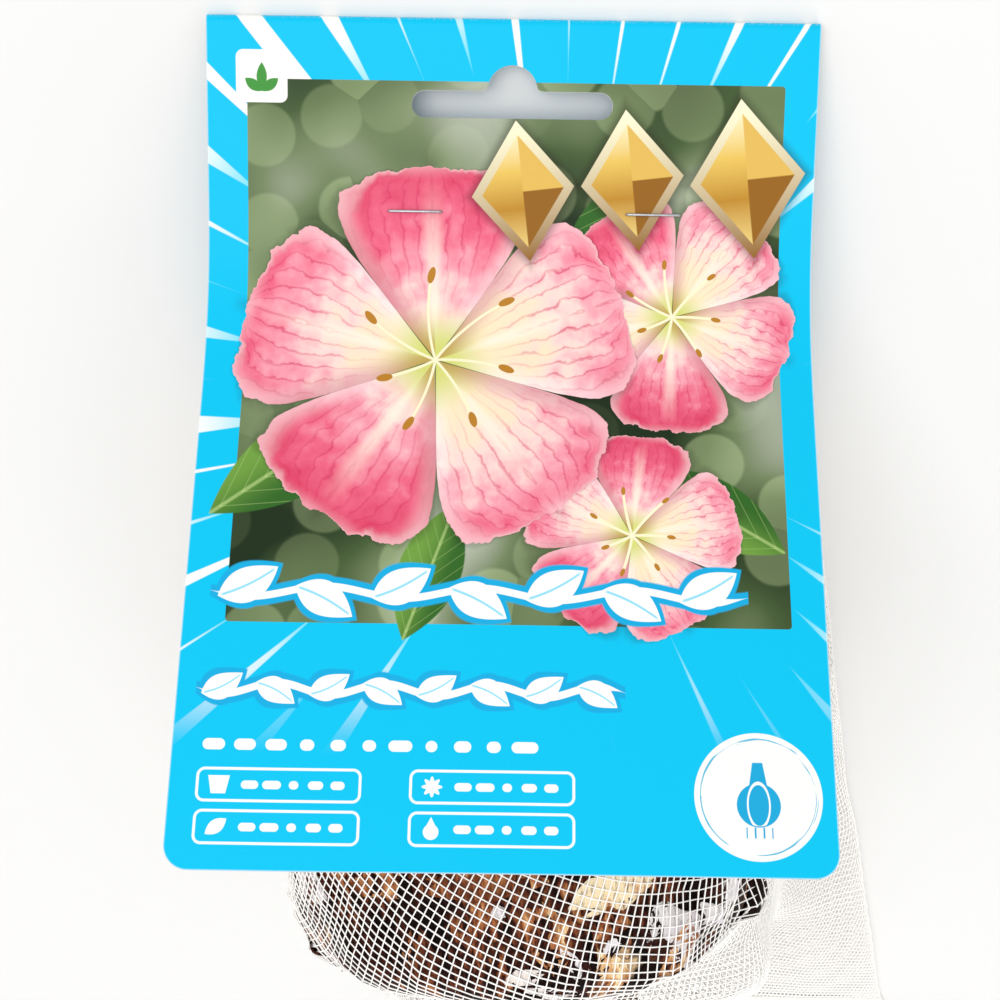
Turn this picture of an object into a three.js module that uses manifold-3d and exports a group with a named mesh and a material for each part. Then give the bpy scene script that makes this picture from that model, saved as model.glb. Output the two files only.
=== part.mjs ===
// An amaryllis bulb in its shop pack: the bulb lies in a knitted net bag, and a folded header card
// with a hang slot is stapled over the mouth of the bag.
//
// Millimetres, +Z up. The pack lies on its back on z = 0. The fold of the card faces +Y, and the
// bulb's base faces -Y. A side view is drawn as (run, rise): run is the distance from the fold
// towards -Y, and rise is the height.

import * as THREE from 'three';
import { ConvexGeometry } from 'three/addons/geometries/ConvexGeometry.js';
import { mergeVertices } from 'three/addons/utils/BufferGeometryUtils.js';
import Module from 'manifold-3d';

const wasm = await Module();
wasm.setup();

// ---------------------------------------------------------------- driving dimensions

const CLEAR = 0.3; // gap that pieces lying on each other keep

const BOARD = 0.35; // thickness of the printed card
const CARD_WIDTH = 100;
const PANEL_LENGTH = 138; // from the fold to the lower edge, the same in front and behind
const CARD_CORNER = 3.8; // radius of the lower corners

const NET_WALL = 0.3; // the net as a plain sheet
const PANEL_GAP = 2 * NET_WALL + 3 * CLEAR; // between the panels, where they pinch the net

const LIFT = THREE.MathUtils.degToRad(16.5); // how the card rises from its fold
const LEAN = THREE.MathUtils.degToRad(46.3); // how the front panel leans on the bulb
const BEND_START = 24; // distance from the fold where the front panel starts to bend
const BEND_END = 64; // and where it is straight again
const BACK_DROP = 54; // run in which the back panel comes down behind the staples
const PATH_STEP = 2; // spacing of the points along a bent panel

const SLOT_FROM_FOLD = 12.6; // middle of the hang slot's long band
const SLOT_LENGTH = 33;
const SLOT_BAND = 4.4;
const SLOT_BUMP = 4.1; // radius of the round bump that centres the pack on its hook

const STAPLE_FROM_FOLD = 30;
const STAPLE_CENTRES = { staple_left: -15.8, staple_right: 23.6 };
const STAPLE_CROWN = 9.4;
const STAPLE_WIRE = 0.5;
const STAPLE_CLINCH = 3.2; // length of each leg's bent end
const STAPLE_CLEAR = 0.1; // gap between the wire and the card
const LEG_HOLE = STAPLE_WIRE + 4 * STAPLE_CLEAR;

const BULB_RADIUS = 42.6;
const BULB_FLATNESS = 0.9; // thickness over width: the bulb isn't quite round
const BULB_LENGTH = 96; // from the basal plate to the cut neck
const PLATE_RADIUS = 13;
const BULB_TILT = THREE.MathUtils.degToRad(20); // base end up, neck end down
const BULB_TURN = THREE.MathUtils.degToRad(6); // base end towards +X
const BULB_ACROSS = 8.2; // the base lies right of the card's middle
const BULB_SIDES = 48;
const ROOT_COUNT = 14;
const ROOT_RADIUS = 0.9;

const MOUTH_FROM_FOLD = 20; // upper edge of the bag, between the panels
const MOUTH_HALF = 42;
const HEM = 2.5; // closed strip along the edges of the bag
const MOUTH_REACH = 4; // how far the hollow runs out of the mouth
const ROOM_WIDTH = 300; // wider and longer than the pack, for the shapes that trim the bag
const SLACK_EDGE = [[66, 129], [86, 211]]; // [x, run] of the bag's loose right edge
const FOOT_LEFT = [-24, 211]; // [x, run] of the left end of the bag's lower edge
// How the net falls from the bulb to the surface: [distance beyond the bulb, height].
const FALL = [[1.6, 95], [1.6, 48], [4, 28], [9, 14], [17, 6], [28, 2.8], [60, 2.6]];

// ---------------------------------------------------------------- small helpers

function solidOf(geometry) {
  const bare = geometry.clone();
  bare.deleteAttribute('normal');
  bare.deleteAttribute('uv');
  const merged = mergeVertices(bare, 1e-4);
  return new wasm.Manifold(new wasm.Mesh({
    numProp: 3,
    vertProperties: new Float32Array(merged.attributes.position.array),
    triVerts: new Uint32Array(merged.index.array),
  }));
}

function geometryOf(solid) {
  const mesh = solid.getMesh();
  const geometry = new THREE.BufferGeometry();
  geometry.setAttribute('position', new THREE.BufferAttribute(mesh.vertProperties, 3));
  geometry.setIndex(new THREE.BufferAttribute(mesh.triVerts, 1));
  return geometry;
}

// A side view, drawn in (run, rise), made solid across X.
function acrossCard(sidePoints, width) {
  const shape = new THREE.Shape(sidePoints.map((p) => new THREE.Vector2(-p.x, p.y)));
  const geometry = new THREE.ExtrudeGeometry(shape, { depth: width, bevelEnabled: false });
  geometry.translate(0, 0, -width / 2);
  const toWorld = new THREE.Matrix4().makeBasis(
    new THREE.Vector3(0, 1, 0),
    new THREE.Vector3(0, 0, 1),
    new THREE.Vector3(1, 0, 0),
  );
  return geometry.applyMatrix4(toWorld);
}

const heading = (angle) => new THREE.Vector2(Math.cos(angle), Math.sin(angle));
const leftOf = (direction) => new THREE.Vector2(-direction.y, direction.x);

// A line moved sideways by an amount, to the left of its own direction.
function offsetLine(points, amount) {
  return points.map((point, i) => {
    const before = points[Math.max(i - 1, 0)];
    const after = points[Math.min(i + 1, points.length - 1)];
    const side = leftOf(after.clone().sub(before).normalize());
    return point.clone().addScaledVector(side, amount);
  });
}

function ribbon(points, thickness) {
  return [...offsetLine(points, thickness / 2), ...offsetLine(points, -thickness / 2).reverse()];
}

// A flat outline, drawn as (x, distance along the card), cut straight through a panel. The panel
// passes through a point of the side view at a given angle.
function throughPanel(shape, point, angle, depth) {
  const geometry = new THREE.ExtrudeGeometry(shape, { depth, bevelEnabled: false, curveSegments: 10 });
  geometry.translate(0, 0, -depth / 2);
  const along = heading(angle);
  const toWorld = new THREE.Matrix4().makeBasis(
    new THREE.Vector3(1, 0, 0),
    new THREE.Vector3(0, -along.x, along.y),
    new THREE.Vector3(0, -along.y, -along.x),
  );
  toWorld.setPosition(0, -point.x, point.y);
  return solidOf(geometry.applyMatrix4(toWorld));
}

// ---------------------------------------------------------------- the card's side view

const halfGap = (PANEL_GAP + BOARD) / 2; // from the middle plane to the middle of each panel
const foldRadius = halfGap + BOARD / 2;
const foldCentre = new THREE.Vector2(foldRadius, foldRadius);
const liftDirection = heading(LIFT);
const liftSide = leftOf(liftDirection);

function onMiddlePlane(fromFold) {
  return foldCentre.clone().addScaledVector(liftDirection, fromFold);
}

// The front panel goes on rising at LIFT, then bends up to LEAN.
function frontLine() {
  const points = [foldCentre.clone().addScaledVector(liftSide, halfGap)];
  const steps = PANEL_LENGTH / PATH_STEP;
  for (let i = 0; i < steps; i += 1) {
    const middle = (i + 0.5) * PATH_STEP;
    const share = THREE.MathUtils.smoothstep(middle, BEND_START, BEND_END);
    const angle = THREE.MathUtils.lerp(LIFT, LEAN, share);
    points.push(points[i].clone().addScaledVector(heading(angle), PATH_STEP));
  }
  return points;
}

// The back panel comes down behind the staples and lies flat under the bulb.
function backLine() {
  const start = foldCentre.clone().addScaledVector(liftSide, -halfGap);
  const crest = start.clone().addScaledVector(liftDirection, STAPLE_FROM_FOLD + 3);
  const landing = new THREE.Vector2(crest.x + BACK_DROP, BOARD / 2);
  const descent = new THREE.CubicBezierCurve(
    crest,
    crest.clone().addScaledVector(liftDirection, BACK_DROP * 0.35),
    landing.clone().setX(landing.x - BACK_DROP * 0.5),
    landing,
  );
  const flat = PANEL_LENGTH - crest.distanceTo(start) - descent.getLength();
  return [start, ...descent.getPoints(24), new THREE.Vector2(landing.x + flat, BOARD / 2)];
}

function foldLine() {
  const points = [];
  const steps = 12;
  for (let i = 1; i < steps; i += 1) {
    const angle = LIFT + Math.PI / 2 + (Math.PI * i) / steps;
    points.push(foldCentre.clone().addScaledVector(heading(angle), halfGap));
  }
  return points;
}

const front = frontLine();
const back = backLine();

// ---------------------------------------------------------------- header card

function slotShape() {
  const half = SLOT_LENGTH / 2;
  const end = SLOT_BAND / 2;
  const shape = new THREE.Shape();
  shape.moveTo(-half + end, SLOT_FROM_FOLD - end);
  shape.lineTo(-SLOT_BUMP, SLOT_FROM_FOLD - end);
  shape.absarc(0, SLOT_FROM_FOLD - end, SLOT_BUMP, Math.PI, 2 * Math.PI, false);
  shape.lineTo(half - end, SLOT_FROM_FOLD - end);
  shape.absarc(half - end, SLOT_FROM_FOLD, end, -Math.PI / 2, Math.PI / 2, false);
  shape.lineTo(-half + end, SLOT_FROM_FOLD + end);
  shape.absarc(-half + end, SLOT_FROM_FOLD, end, Math.PI / 2, 1.5 * Math.PI, false);
  return shape;
}

// What a rounded corner leaves out at the lower edge of a panel; side is -1 or 1.
function cornerShape(side) {
  const over = 1;
  const edge = CARD_WIDTH / 2;
  const inner = edge - CARD_CORNER;
  const shape = new THREE.Shape();
  shape.moveTo(side * inner, over);
  shape.lineTo(side * inner, 0);
  shape.absarc(side * inner, -CARD_CORNER, CARD_CORNER, Math.PI / 2, side > 0 ? 0 : Math.PI, side > 0);
  shape.lineTo(side * (edge + over), -CARD_CORNER);
  shape.lineTo(side * (edge + over), over);
  return shape;
}

function legHoles() {
  const half = LEG_HOLE / 2;
  const reach = STAPLE_CROWN / 2 - STAPLE_WIRE / 2;
  const holes = [];
  for (const centre of Object.values(STAPLE_CENTRES)) {
    for (const x of [centre - reach, centre + reach]) {
      const shape = new THREE.Shape();
      shape.moveTo(x - half, STAPLE_FROM_FOLD - half);
      shape.lineTo(x + half, STAPLE_FROM_FOLD - half);
      shape.lineTo(x + half, STAPLE_FROM_FOLD + half);
      shape.lineTo(x - half, STAPLE_FROM_FOLD + half);
      holes.push(throughPanel(shape, foldCentre, LIFT, 4 * PANEL_GAP));
    }
  }
  return holes;
}

function headerCard() {
  const line = [...front.slice().reverse(), ...foldLine(), ...back];
  let card = solidOf(acrossCard(ribbon(line, BOARD), CARD_WIDTH));
  card = card.subtract(throughPanel(slotShape(), foldCentre, LIFT, 4 * PANEL_GAP));
  for (const hole of legHoles()) card = card.subtract(hole);
  for (const side of [-1, 1]) {
    card = card.subtract(throughPanel(cornerShape(side), front.at(-1), LEAN, 4 * BOARD));
    card = card.subtract(throughPanel(cornerShape(side), back.at(-1), 0, 4 * BOARD));
  }
  return geometryOf(card);
}

// ---------------------------------------------------------------- staples

// Flat wire: a crown on the front panel, two legs through the card and the net, and two ends
// bent inwards under the back panel.
function staple(centre) {
  const high = halfGap + BOARD / 2 + STAPLE_CLEAR + STAPLE_WIRE / 2;
  const half = STAPLE_CROWN / 2 - STAPLE_WIRE / 2;
  const turn = STAPLE_WIRE * 0.7;
  const path = new THREE.Path();
  path.moveTo(-half + STAPLE_CLINCH, -high);
  path.lineTo(-half + turn, -high);
  path.absarc(-half + turn, -high + turn, turn, -Math.PI / 2, -Math.PI, true);
  path.lineTo(-half, high - turn);
  path.absarc(-half + turn, high - turn, turn, Math.PI, Math.PI / 2, true);
  path.lineTo(half - turn, high);
  path.absarc(half - turn, high - turn, turn, Math.PI / 2, 0, true);
  path.lineTo(half, -high + turn);
  path.absarc(half - turn, -high + turn, turn, 0, -Math.PI / 2, true);
  path.lineTo(half - STAPLE_CLINCH, -high);
  const shape = new THREE.Shape(ribbon(path.getPoints(5), STAPLE_WIRE));
  const geometry = new THREE.ExtrudeGeometry(shape, { depth: STAPLE_WIRE, bevelEnabled: false });
  geometry.translate(centre, 0, -STAPLE_WIRE / 2);
  const toWorld = new THREE.Matrix4().makeBasis(
    new THREE.Vector3(1, 0, 0),
    new THREE.Vector3(0, -liftSide.x, liftSide.y),
    new THREE.Vector3(0, -liftDirection.x, liftDirection.y),
  );
  const place = onMiddlePlane(STAPLE_FROM_FOLD);
  toWorld.setPosition(0, -place.x, place.y);
  return geometry.applyMatrix4(toWorld);
}

// ---------------------------------------------------------------- bulb

// [radius, distance from the base], from the basal plate's rim over the body to the cut neck.
const BULB_PROFILE = [
  [PLATE_RADIUS + 2, 0.6], [26, 0.2], [33, 2.4], [37.8, 7], [40.7, 13], [42.2, 21], [BULB_RADIUS, 28],
  [41, 38], [36.6, 48], [31, 56.5], [24.5, 64.5], [19, 72.5], [15.8, 80], [14.4, 88], [13.6, 94.5],
];

function bulbSideView() {
  const body = new THREE.SplineCurve(BULB_PROFILE.map(([r, a]) => new THREE.Vector2(r, a)));
  const plate = [new THREE.Vector2(0, -2), new THREE.Vector2(PLATE_RADIUS - 1.5, -2)];
  const neck = [new THREE.Vector2(11.5, BULB_LENGTH), new THREE.Vector2(0, BULB_LENGTH)];
  return [...plate, new THREE.Vector2(PLATE_RADIUS, -1), ...body.getPoints(34), ...neck];
}

// Dry roots, trimmed short, that curl out of the basal plate.
function rootPath(index) {
  const around = index * 2.4; // the golden angle spreads them evenly
  const ring = 3 + 8 * Math.sqrt((index + 0.5) / ROOT_COUNT);
  const length = 7 + ((index * 5) % 7);
  const sway = around + (index % 2 ? 0.7 : -0.6);
  const at = (r, angle, a) => new THREE.Vector3(r * Math.cos(angle), a, r * Math.sin(angle));
  return new THREE.CatmullRomCurve3([
    at(ring, around, 1),
    at(ring, around, -3),
    at(ring + 0.35 * length, around, -3 - 0.55 * length),
    at(ring + 0.9 * length, sway, -2.5 - 0.8 * length),
  ]);
}

function root(index) {
  const section = new THREE.Shape();
  section.absarc(0, 0, ROOT_RADIUS, 0, 2 * Math.PI, false);
  const geometry = new THREE.ExtrudeGeometry(section, {
    steps: 8,
    curveSegments: 3,
    extrudePath: rootPath(index),
  });
  return solidOf(geometry);
}

function uprightBulb() {
  let bulb = solidOf(new THREE.LatheGeometry(bulbSideView(), BULB_SIDES));
  for (let i = 0; i < ROOT_COUNT; i += 1) bulb = bulb.add(root(i));
  return geometryOf(bulb).scale(1, 1, BULB_FLATNESS);
}

const reach = (geometry, direction) => {
  const position = geometry.attributes.position;
  const point = new THREE.Vector3();
  let furthest = -Infinity;
  for (let i = 0; i < position.count; i += 1) {
    furthest = Math.max(furthest, point.fromBufferAttribute(position, i).dot(direction));
  }
  return furthest;
};

// The bulb lies on the back panel and the front panel leans on it, with the net between.
function bulbPlacement(geometry) {
  const axis = new THREE.Vector3(
    -Math.sin(BULB_TURN) * Math.cos(BULB_TILT),
    Math.cos(BULB_TURN) * Math.cos(BULB_TILT),
    -Math.sin(BULB_TILT),
  );
  const turned = new THREE.Quaternion().setFromUnitVectors(new THREE.Vector3(0, 1, 0), axis);
  const posed = geometry.clone().applyQuaternion(turned);
  const seam = 2 * CLEAR + NET_WALL;
  const down = new THREE.Vector3(0, 0, -1);
  const rise = BOARD + seam + reach(posed, down);
  const lean = leftOf(heading(LEAN));
  const panelNormal = new THREE.Vector3(0, -lean.x, lean.y);
  const panelPoint = new THREE.Vector3(0, -front.at(-1).x, front.at(-1).y);
  const room = panelPoint.dot(panelNormal) - BOARD / 2 - seam - reach(posed, panelNormal);
  const y = (room - rise * panelNormal.z) / panelNormal.y;
  const place = new THREE.Vector3(BULB_ACROSS, y, rise);
  return new THREE.Matrix4().compose(place, turned, new THREE.Vector3(1, 1, 1));
}

const upright = uprightBulb();
const placement = bulbPlacement(upright);

// ---------------------------------------------------------------- net bag

// Points all round the bulb and its roots, a given distance outside them.
function cloudRoundBulb(distance) {
  const points = [];
  for (const { x: radius, y: along } of bulbSideView()) {
    const end = along < 0 ? -distance : 0;
    for (let i = 0; i < BULB_SIDES; i += 1) {
      const angle = (2 * Math.PI * i) / BULB_SIDES;
      const r = radius + distance;
      const thick = radius * BULB_FLATNESS + distance;
      points.push(new THREE.Vector3(r * Math.sin(angle), along + end, thick * Math.cos(angle)));
    }
  }
  for (let i = 0; i < ROOT_COUNT; i += 1) {
    const tip = rootPath(i).getPoint(1);
    tip.z *= BULB_FLATNESS;
    const size = ROOT_RADIUS + distance;
    for (const [dx, dy, dz] of [[1, 0, 0], [-1, 0, 0], [0, -1, 0], [0, 0, 1], [0, 0, -1]]) {
      points.push(tip.clone().add(new THREE.Vector3(dx, dy, dz).multiplyScalar(1.5 * size)));
    }
  }
  return points.map((point) => point.applyMatrix4(placement));
}

// The taut shape of the bag, with its flat edges taken in by an amount.
function tautBag(distance, inset) {
  const skin = inset > 0 ? NET_WALL : 0;
  const low = BOARD + CLEAR;
  const mouth = onMiddlePlane(MOUTH_FROM_FOLD - 2 * MOUTH_REACH);
  const points = cloudRoundBulb(distance);
  for (const side of [-1, 1]) {
    for (const lift of [-1, 1]) {
      const x = side * (MOUTH_HALF - inset);
      points.push(new THREE.Vector3(x, -mouth.x, mouth.y + lift * (PANEL_GAP - skin)));
    }
  }
  for (const [x, run] of [...SLACK_EDGE, FOOT_LEFT]) {
    const inward = x > 0 ? -inset : inset;
    const up = Math.min(run, SLACK_EDGE[1][1] - inset);
    for (const z of [low + skin, low + PANEL_GAP - skin]) {
      points.push(new THREE.Vector3(x + inward, -up, z));
    }
  }
  return solidOf(new ConvexGeometry(points));
}

// The net's fall beyond a limit of the bulb, lowered by the distance that is kept to it.
function fallLine(limit, distance) {
  const points = FALL.map(([beyond, rise]) => new THREE.Vector2(limit + beyond - distance, rise - distance));
  return new THREE.SplineCurve(points).getPoints(24);
}

// The room between the two panels, a given distance from each, and on to the end of the bag.
function betweenPanels(distance, bulbEnd) {
  const start = distance > CLEAR ? MOUTH_FROM_FOLD - MOUTH_REACH : MOUTH_FROM_FOLD;
  const mouthEnd = start / PATH_STEP;
  const upper = offsetLine(front, -BOARD / 2 - distance).slice(mouthEnd);
  upper.push(upper.at(-1).clone().addScaledVector(heading(LEAN), 14));
  upper.push(...fallLine(bulbEnd, distance));
  const lower = offsetLine(back, BOARD / 2 + distance);
  lower[0].addScaledVector(liftDirection, mouthEnd * PATH_STEP);
  lower.at(-1).setX(upper.at(-1).x);
  return solidOf(acrossCard([...upper, ...lower.reverse()], ROOM_WIDTH));
}

// The room left of the net's fall on the bulb's right side, seen along the bulb.
function leftOfFall(distance, bulbSide) {
  const fall = fallLine(bulbSide, distance);
  const left = -ROOM_WIDTH;
  const corners = [new THREE.Vector2(left, 0), new THREE.Vector2(fall.at(-1).x, 0)];
  const shape = new THREE.Shape([...corners, ...fall.reverse(), new THREE.Vector2(left, fall.at(-1).y)]);
  const geometry = new THREE.ExtrudeGeometry(shape, { depth: ROOM_WIDTH, bevelEnabled: false });
  return solidOf(geometry.rotateX(Math.PI / 2));
}

function bagRoom(distance) {
  const bulbBox = new THREE.Box3().setFromBufferAttribute(
    upright.clone().applyMatrix4(placement).attributes.position,
  );
  const clearOfBoard = distance - CLEAR;
  return betweenPanels(distance, -bulbBox.min.y).intersect(leftOfFall(clearOfBoard, bulbBox.max.x));
}

function netBag() {
  const outer = tautBag(CLEAR + NET_WALL, 0).intersect(bagRoom(CLEAR));
  const inner = tautBag(CLEAR, HEM).intersect(bagRoom(CLEAR + NET_WALL));
  let bag = outer.subtract(inner);
  for (const hole of legHoles()) bag = bag.subtract(hole);
  return geometryOf(bag);
}

// ---------------------------------------------------------------- the pack

function piece(name, geometry, color, roughness, metalness) {
  const mesh = new THREE.Mesh(geometry, new THREE.MeshStandardMaterial({ color, roughness, metalness }));
  mesh.name = name;
  return mesh;
}

const pack = new THREE.Group();
pack.add(piece('header_card', headerCard(), 0x13cdfc, 0.35, 0));
pack.add(piece('net_bag', netBag(), 0xfff8f0, 0.5, 0));
for (const [name, centre] of Object.entries(STAPLE_CENTRES)) {
  pack.add(piece(name, staple(centre), 0xc9ccd0, 0.3, 1));
}
const bulb = piece('bulb', upright, 0x6b4632, 0.7, 0);
bulb.applyMatrix4(placement);
pack.add(bulb);

// The origin is the middle of the pack's footprint, on the surface that it lies on.
const bounds = new THREE.Box3().setFromObject(pack, true);
const centre = bounds.getCenter(new THREE.Vector3());
pack.position.set(-centre.x, -centre.y, -bounds.min.z);
const part = new THREE.Group();
part.add(pack);
export default part;
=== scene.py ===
# %% [markdown]
# # An amaryllis bulb in its net bag, under a folded header card
#
# The real thing is a shop pack. A dormant bulb lies in a knitted net bag, and the mouth of the bag
# is stapled between the two panels of a folded card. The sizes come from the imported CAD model,
# which is loaded first. Every later piece is made in the same frame, in metres: the fold of the
# card faces +Y, the bulb's base faces -Y, and the pack lies on its back on the plane z = 0.

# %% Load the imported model
import math
from collections import Counter

import bmesh
import bpy
import numpy as np
from mathutils import Matrix, Vector, noise
from mathutils.bvhtree import BVHTree


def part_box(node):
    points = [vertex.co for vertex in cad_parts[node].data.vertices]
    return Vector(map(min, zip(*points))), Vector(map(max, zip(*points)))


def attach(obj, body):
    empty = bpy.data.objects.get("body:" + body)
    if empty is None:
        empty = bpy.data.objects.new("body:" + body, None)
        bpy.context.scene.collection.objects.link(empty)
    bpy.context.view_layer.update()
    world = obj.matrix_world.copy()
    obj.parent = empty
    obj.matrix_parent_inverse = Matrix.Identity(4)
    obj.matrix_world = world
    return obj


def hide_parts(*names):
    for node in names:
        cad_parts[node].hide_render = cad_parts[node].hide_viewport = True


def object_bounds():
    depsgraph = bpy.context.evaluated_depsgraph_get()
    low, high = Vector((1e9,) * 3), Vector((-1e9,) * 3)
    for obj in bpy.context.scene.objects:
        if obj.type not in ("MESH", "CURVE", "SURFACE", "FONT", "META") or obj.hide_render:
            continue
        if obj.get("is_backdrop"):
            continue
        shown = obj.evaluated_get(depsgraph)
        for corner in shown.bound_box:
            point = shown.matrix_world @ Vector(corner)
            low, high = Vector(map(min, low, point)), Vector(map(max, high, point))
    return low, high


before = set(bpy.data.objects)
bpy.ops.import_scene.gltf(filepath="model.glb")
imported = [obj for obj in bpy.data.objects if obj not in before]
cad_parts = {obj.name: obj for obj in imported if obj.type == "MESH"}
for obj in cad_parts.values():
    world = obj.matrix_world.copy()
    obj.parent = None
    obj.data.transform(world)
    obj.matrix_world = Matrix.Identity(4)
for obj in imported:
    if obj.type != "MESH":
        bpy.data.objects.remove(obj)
cad_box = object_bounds()
MM = 0.001
print("CAD box in mm:", [[round(place / MM, 1) for place in corner] for corner in cad_box])

# %% [markdown]
# ## Camera
#
# The pack is seen from above and a little from behind its lower edge, as when it is picked up from
# a table.

# %% Camera
CAMERA_PLACE = (-0.0190, 0.1521, 0.2721)
CAMERA_TILT = math.radians(-26.3)
CAMERA_ROLL = math.radians(0.9)
CAMERA_LENS = 58.3


def in_scene(name, data):
    """A new object of the scene, at the origin."""
    made = bpy.data.objects.new(name, data)
    bpy.context.collection.objects.link(made)
    return made


camera = in_scene("camera", bpy.data.cameras.new("camera"))
camera.data.lens = CAMERA_LENS
camera.data.clip_start = 0.01
turned = Matrix.Rotation(CAMERA_TILT, 4, "X") @ Matrix.Rotation(CAMERA_ROLL, 4, "Z")
camera.matrix_world = Matrix.Translation(CAMERA_PLACE) @ turned
bpy.context.scene.camera = camera
bpy.context.scene.view_settings.view_transform = "Standard"
print("camera at", CAMERA_PLACE, "lens", camera.data.lens)

# %% [markdown]
# ## Shader maths in plain expressions
#
# A material is a graph of small nodes. Wiring it by hand hides what it works out, so a small class
# wraps a socket: adding, multiplying or comparing two wrapped sockets adds the Math node that does
# it, and the method `node` adds any other node.

# %% A socket that can be calculated with
def operation_on(kind, swapped=False):
    def method(self, other):
        first, second = (other, self) if swapped else (self, other)
        return self.node("Math", {0: first, 1: second}, operation=kind)

    return method


class Flow:
    """A value on its way through a material."""

    def __init__(self, tree, socket=None):
        self.tree = tree
        self.socket = socket

    def node(self, kind, values=None, out=0, stops=None, **settings):
        """Adds a node: its settings come first, then the values or flows that go into it."""
        made = self.tree.nodes.new("ShaderNode" + kind)
        for name, value in settings.items():
            setattr(made, name, value)
        if stops:
            ramp = made.color_ramp.elements
            for stop, (place, colour) in zip((ramp[0], ramp[1]), (stops[0], stops[-1])):
                stop.position, stop.color = place, colour
            for place, colour in stops[1:-1]:
                ramp.new(place).color = colour
        for key, value in (values or {}).items():
            if isinstance(value, Flow):
                self.tree.links.new(value.socket, made.inputs[key])
            else:
                made.inputs[key].default_value = value
        return Flow(self.tree, made.outputs[out] if len(made.outputs) else None)

    def maths(self, kind, other=0.0, third=0.0):
        return self.node("Math", {0: self, 1: other, 2: third}, operation=kind)

    def least(self, other):
        return self.maths("MINIMUM", other)

    def most(self, other):
        return self.maths("MAXIMUM", other)

    __add__ = operation_on("ADD")
    __radd__ = __add__
    __mul__ = operation_on("MULTIPLY")
    __rmul__ = __mul__
    __sub__ = operation_on("SUBTRACT")
    __rsub__ = operation_on("SUBTRACT", swapped=True)
    __truediv__ = operation_on("DIVIDE")
    __rtruediv__ = operation_on("DIVIDE", swapped=True)
    __pow__ = operation_on("POWER")
    __mod__ = operation_on("FLOORED_MODULO")
    __gt__ = operation_on("GREATER_THAN")
    __lt__ = operation_on("LESS_THAN")

    def __abs__(self):
        return self.maths("ABSOLUTE")

    def step(self, start, end):
        """0 before start and 1 after end, with a smooth rise between; start may be the larger."""
        values = {"Value": self, "From Min": start, "From Max": end}
        return self.node("MapRange", values, interpolation_type="SMOOTHSTEP")

    def parts(self):
        """The first two coordinates of a point."""
        split = self.node("SeparateXYZ", {0: self}).socket.node
        return [Flow(self.tree, socket) for socket in split.outputs[:2]]

    def vector(self, kind, other=(0.0, 0.0, 0.0), out="Vector"):
        return self.node("VectorMath", {0: self, 1: other}, out=out, operation=kind)

    def length(self):
        return self.vector("LENGTH", out="Value")

    def toned(self, stops):
        """The colour that lies at this value on a ramp of (value, colour) stops."""
        return self.node("ValToRGB", {0: self}, stops=stops)

    def times_plus(self, factor, term):
        return self.maths("MULTIPLY_ADD", factor, term)

    def seen_from(self, place, angle=0.0, size=(1.0, 1.0)):
        """The same point as seen from a place on the print, turned by an angle, in units of size."""
        values = {
            "Vector": self, "Location": (*place, 0.0), "Rotation": (0.0, 0.0, angle), "Scale": (*size, 1.0),
        }
        return self.node("Mapping", values, vector_type="TEXTURE")

    def noise(self, scale, detail=2.0, dimensions="3D", **values):
        """Noise; with dimensions of 2D it costs half as much, which is enough on a flat print."""
        wanted = {"Vector": self, "Scale": scale, "Detail": detail}
        wanted.update({name.capitalize(): value for name, value in values.items()})
        return self.node("TexNoise", wanted, noise_dimensions=dimensions)

    def flat_noise(self, scale, detail=2.0):
        return self.noise(scale, detail, "2D")

# %% Colours, and how a material is closed
def ink(red, green, blue):
    """A colour as a printer or painter would name it, from 0 to 255, in linear light."""
    shares = [channel / 255 for channel in (red, green, blue)]
    return (*[s / 12.92 if s <= 0.04045 else ((s + 0.055) / 1.055) ** 2.4 for s in shares], 1.0)


def mix(mask, below, above, blend="MIX"):
    """Lays one colour over another where the mask is 1."""
    return mask.node("Mix", {0: mask, 6: below, 7: above}, out=2, data_type="RGBA", blend_type=blend)


def new_material(name):
    """A material with only an output, and the flow that its nodes are added to."""
    material = bpy.data.materials.new(name)
    material.use_nodes = True
    material.node_tree.nodes.clear()
    return material, Flow(material.node_tree)


def finish_material(flow, colour, roughness, gloss=0.5, height=None, depth=0.0, **more):
    """Closes a material with its shader; height is a flow from 0 to 1 that is depth metres high."""
    values = {"Base Color": colour, "Roughness": roughness, "Specular IOR Level": gloss}
    values |= {name.replace("_", " "): value for name, value in more.items()}
    if height is not None:
        values["Normal"] = flow.node("Bump", {"Height": height, "Distance": depth, "Strength": 1.0})
    flow.node("OutputMaterial", {"Surface": flow.node("BsdfPrincipled", values)})


def object_place(flow):
    return flow.node("TexCoord", out="Object")


def stored(flow, name, out="Fac"):
    """A value that was stored on the mesh, point by point."""
    return flow.node("Attribute", out=out, attribute_name=name)


def spot_at(flow, x, y):
    return flow.node("CombineXYZ", {0: x, 1: y})

# %% [markdown]
# ## Floor and light
#
# The light is that of a white tent: a bright world gives almost the same light from every side, and
# one broad lamp overhead keeps a little shape. Sharp lamps were left out, because thin net over a
# dark bulb reads best without hard shadows. The floor is a plain pale table top, wide enough to
# fill the view.

# %% Floor
FLOOR_HALF = 1.6
floor_mesh = bmesh.new()
bmesh.ops.create_grid(floor_mesh, x_segments=1, y_segments=1, size=FLOOR_HALF)
floor = in_scene("floor", bpy.data.meshes.new("floor"))
floor_mesh.to_mesh(floor.data)
floor_mesh.free()
floor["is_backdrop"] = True

tabletop, flow = new_material("pale_tabletop")
finish_material(flow, ink(238, 238, 237), 0.75, gloss=0.2)
floor.data.materials.append(tabletop)

# %% Light
LAMP_AIM = Vector((0.0, 0.0, 0.03))

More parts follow.
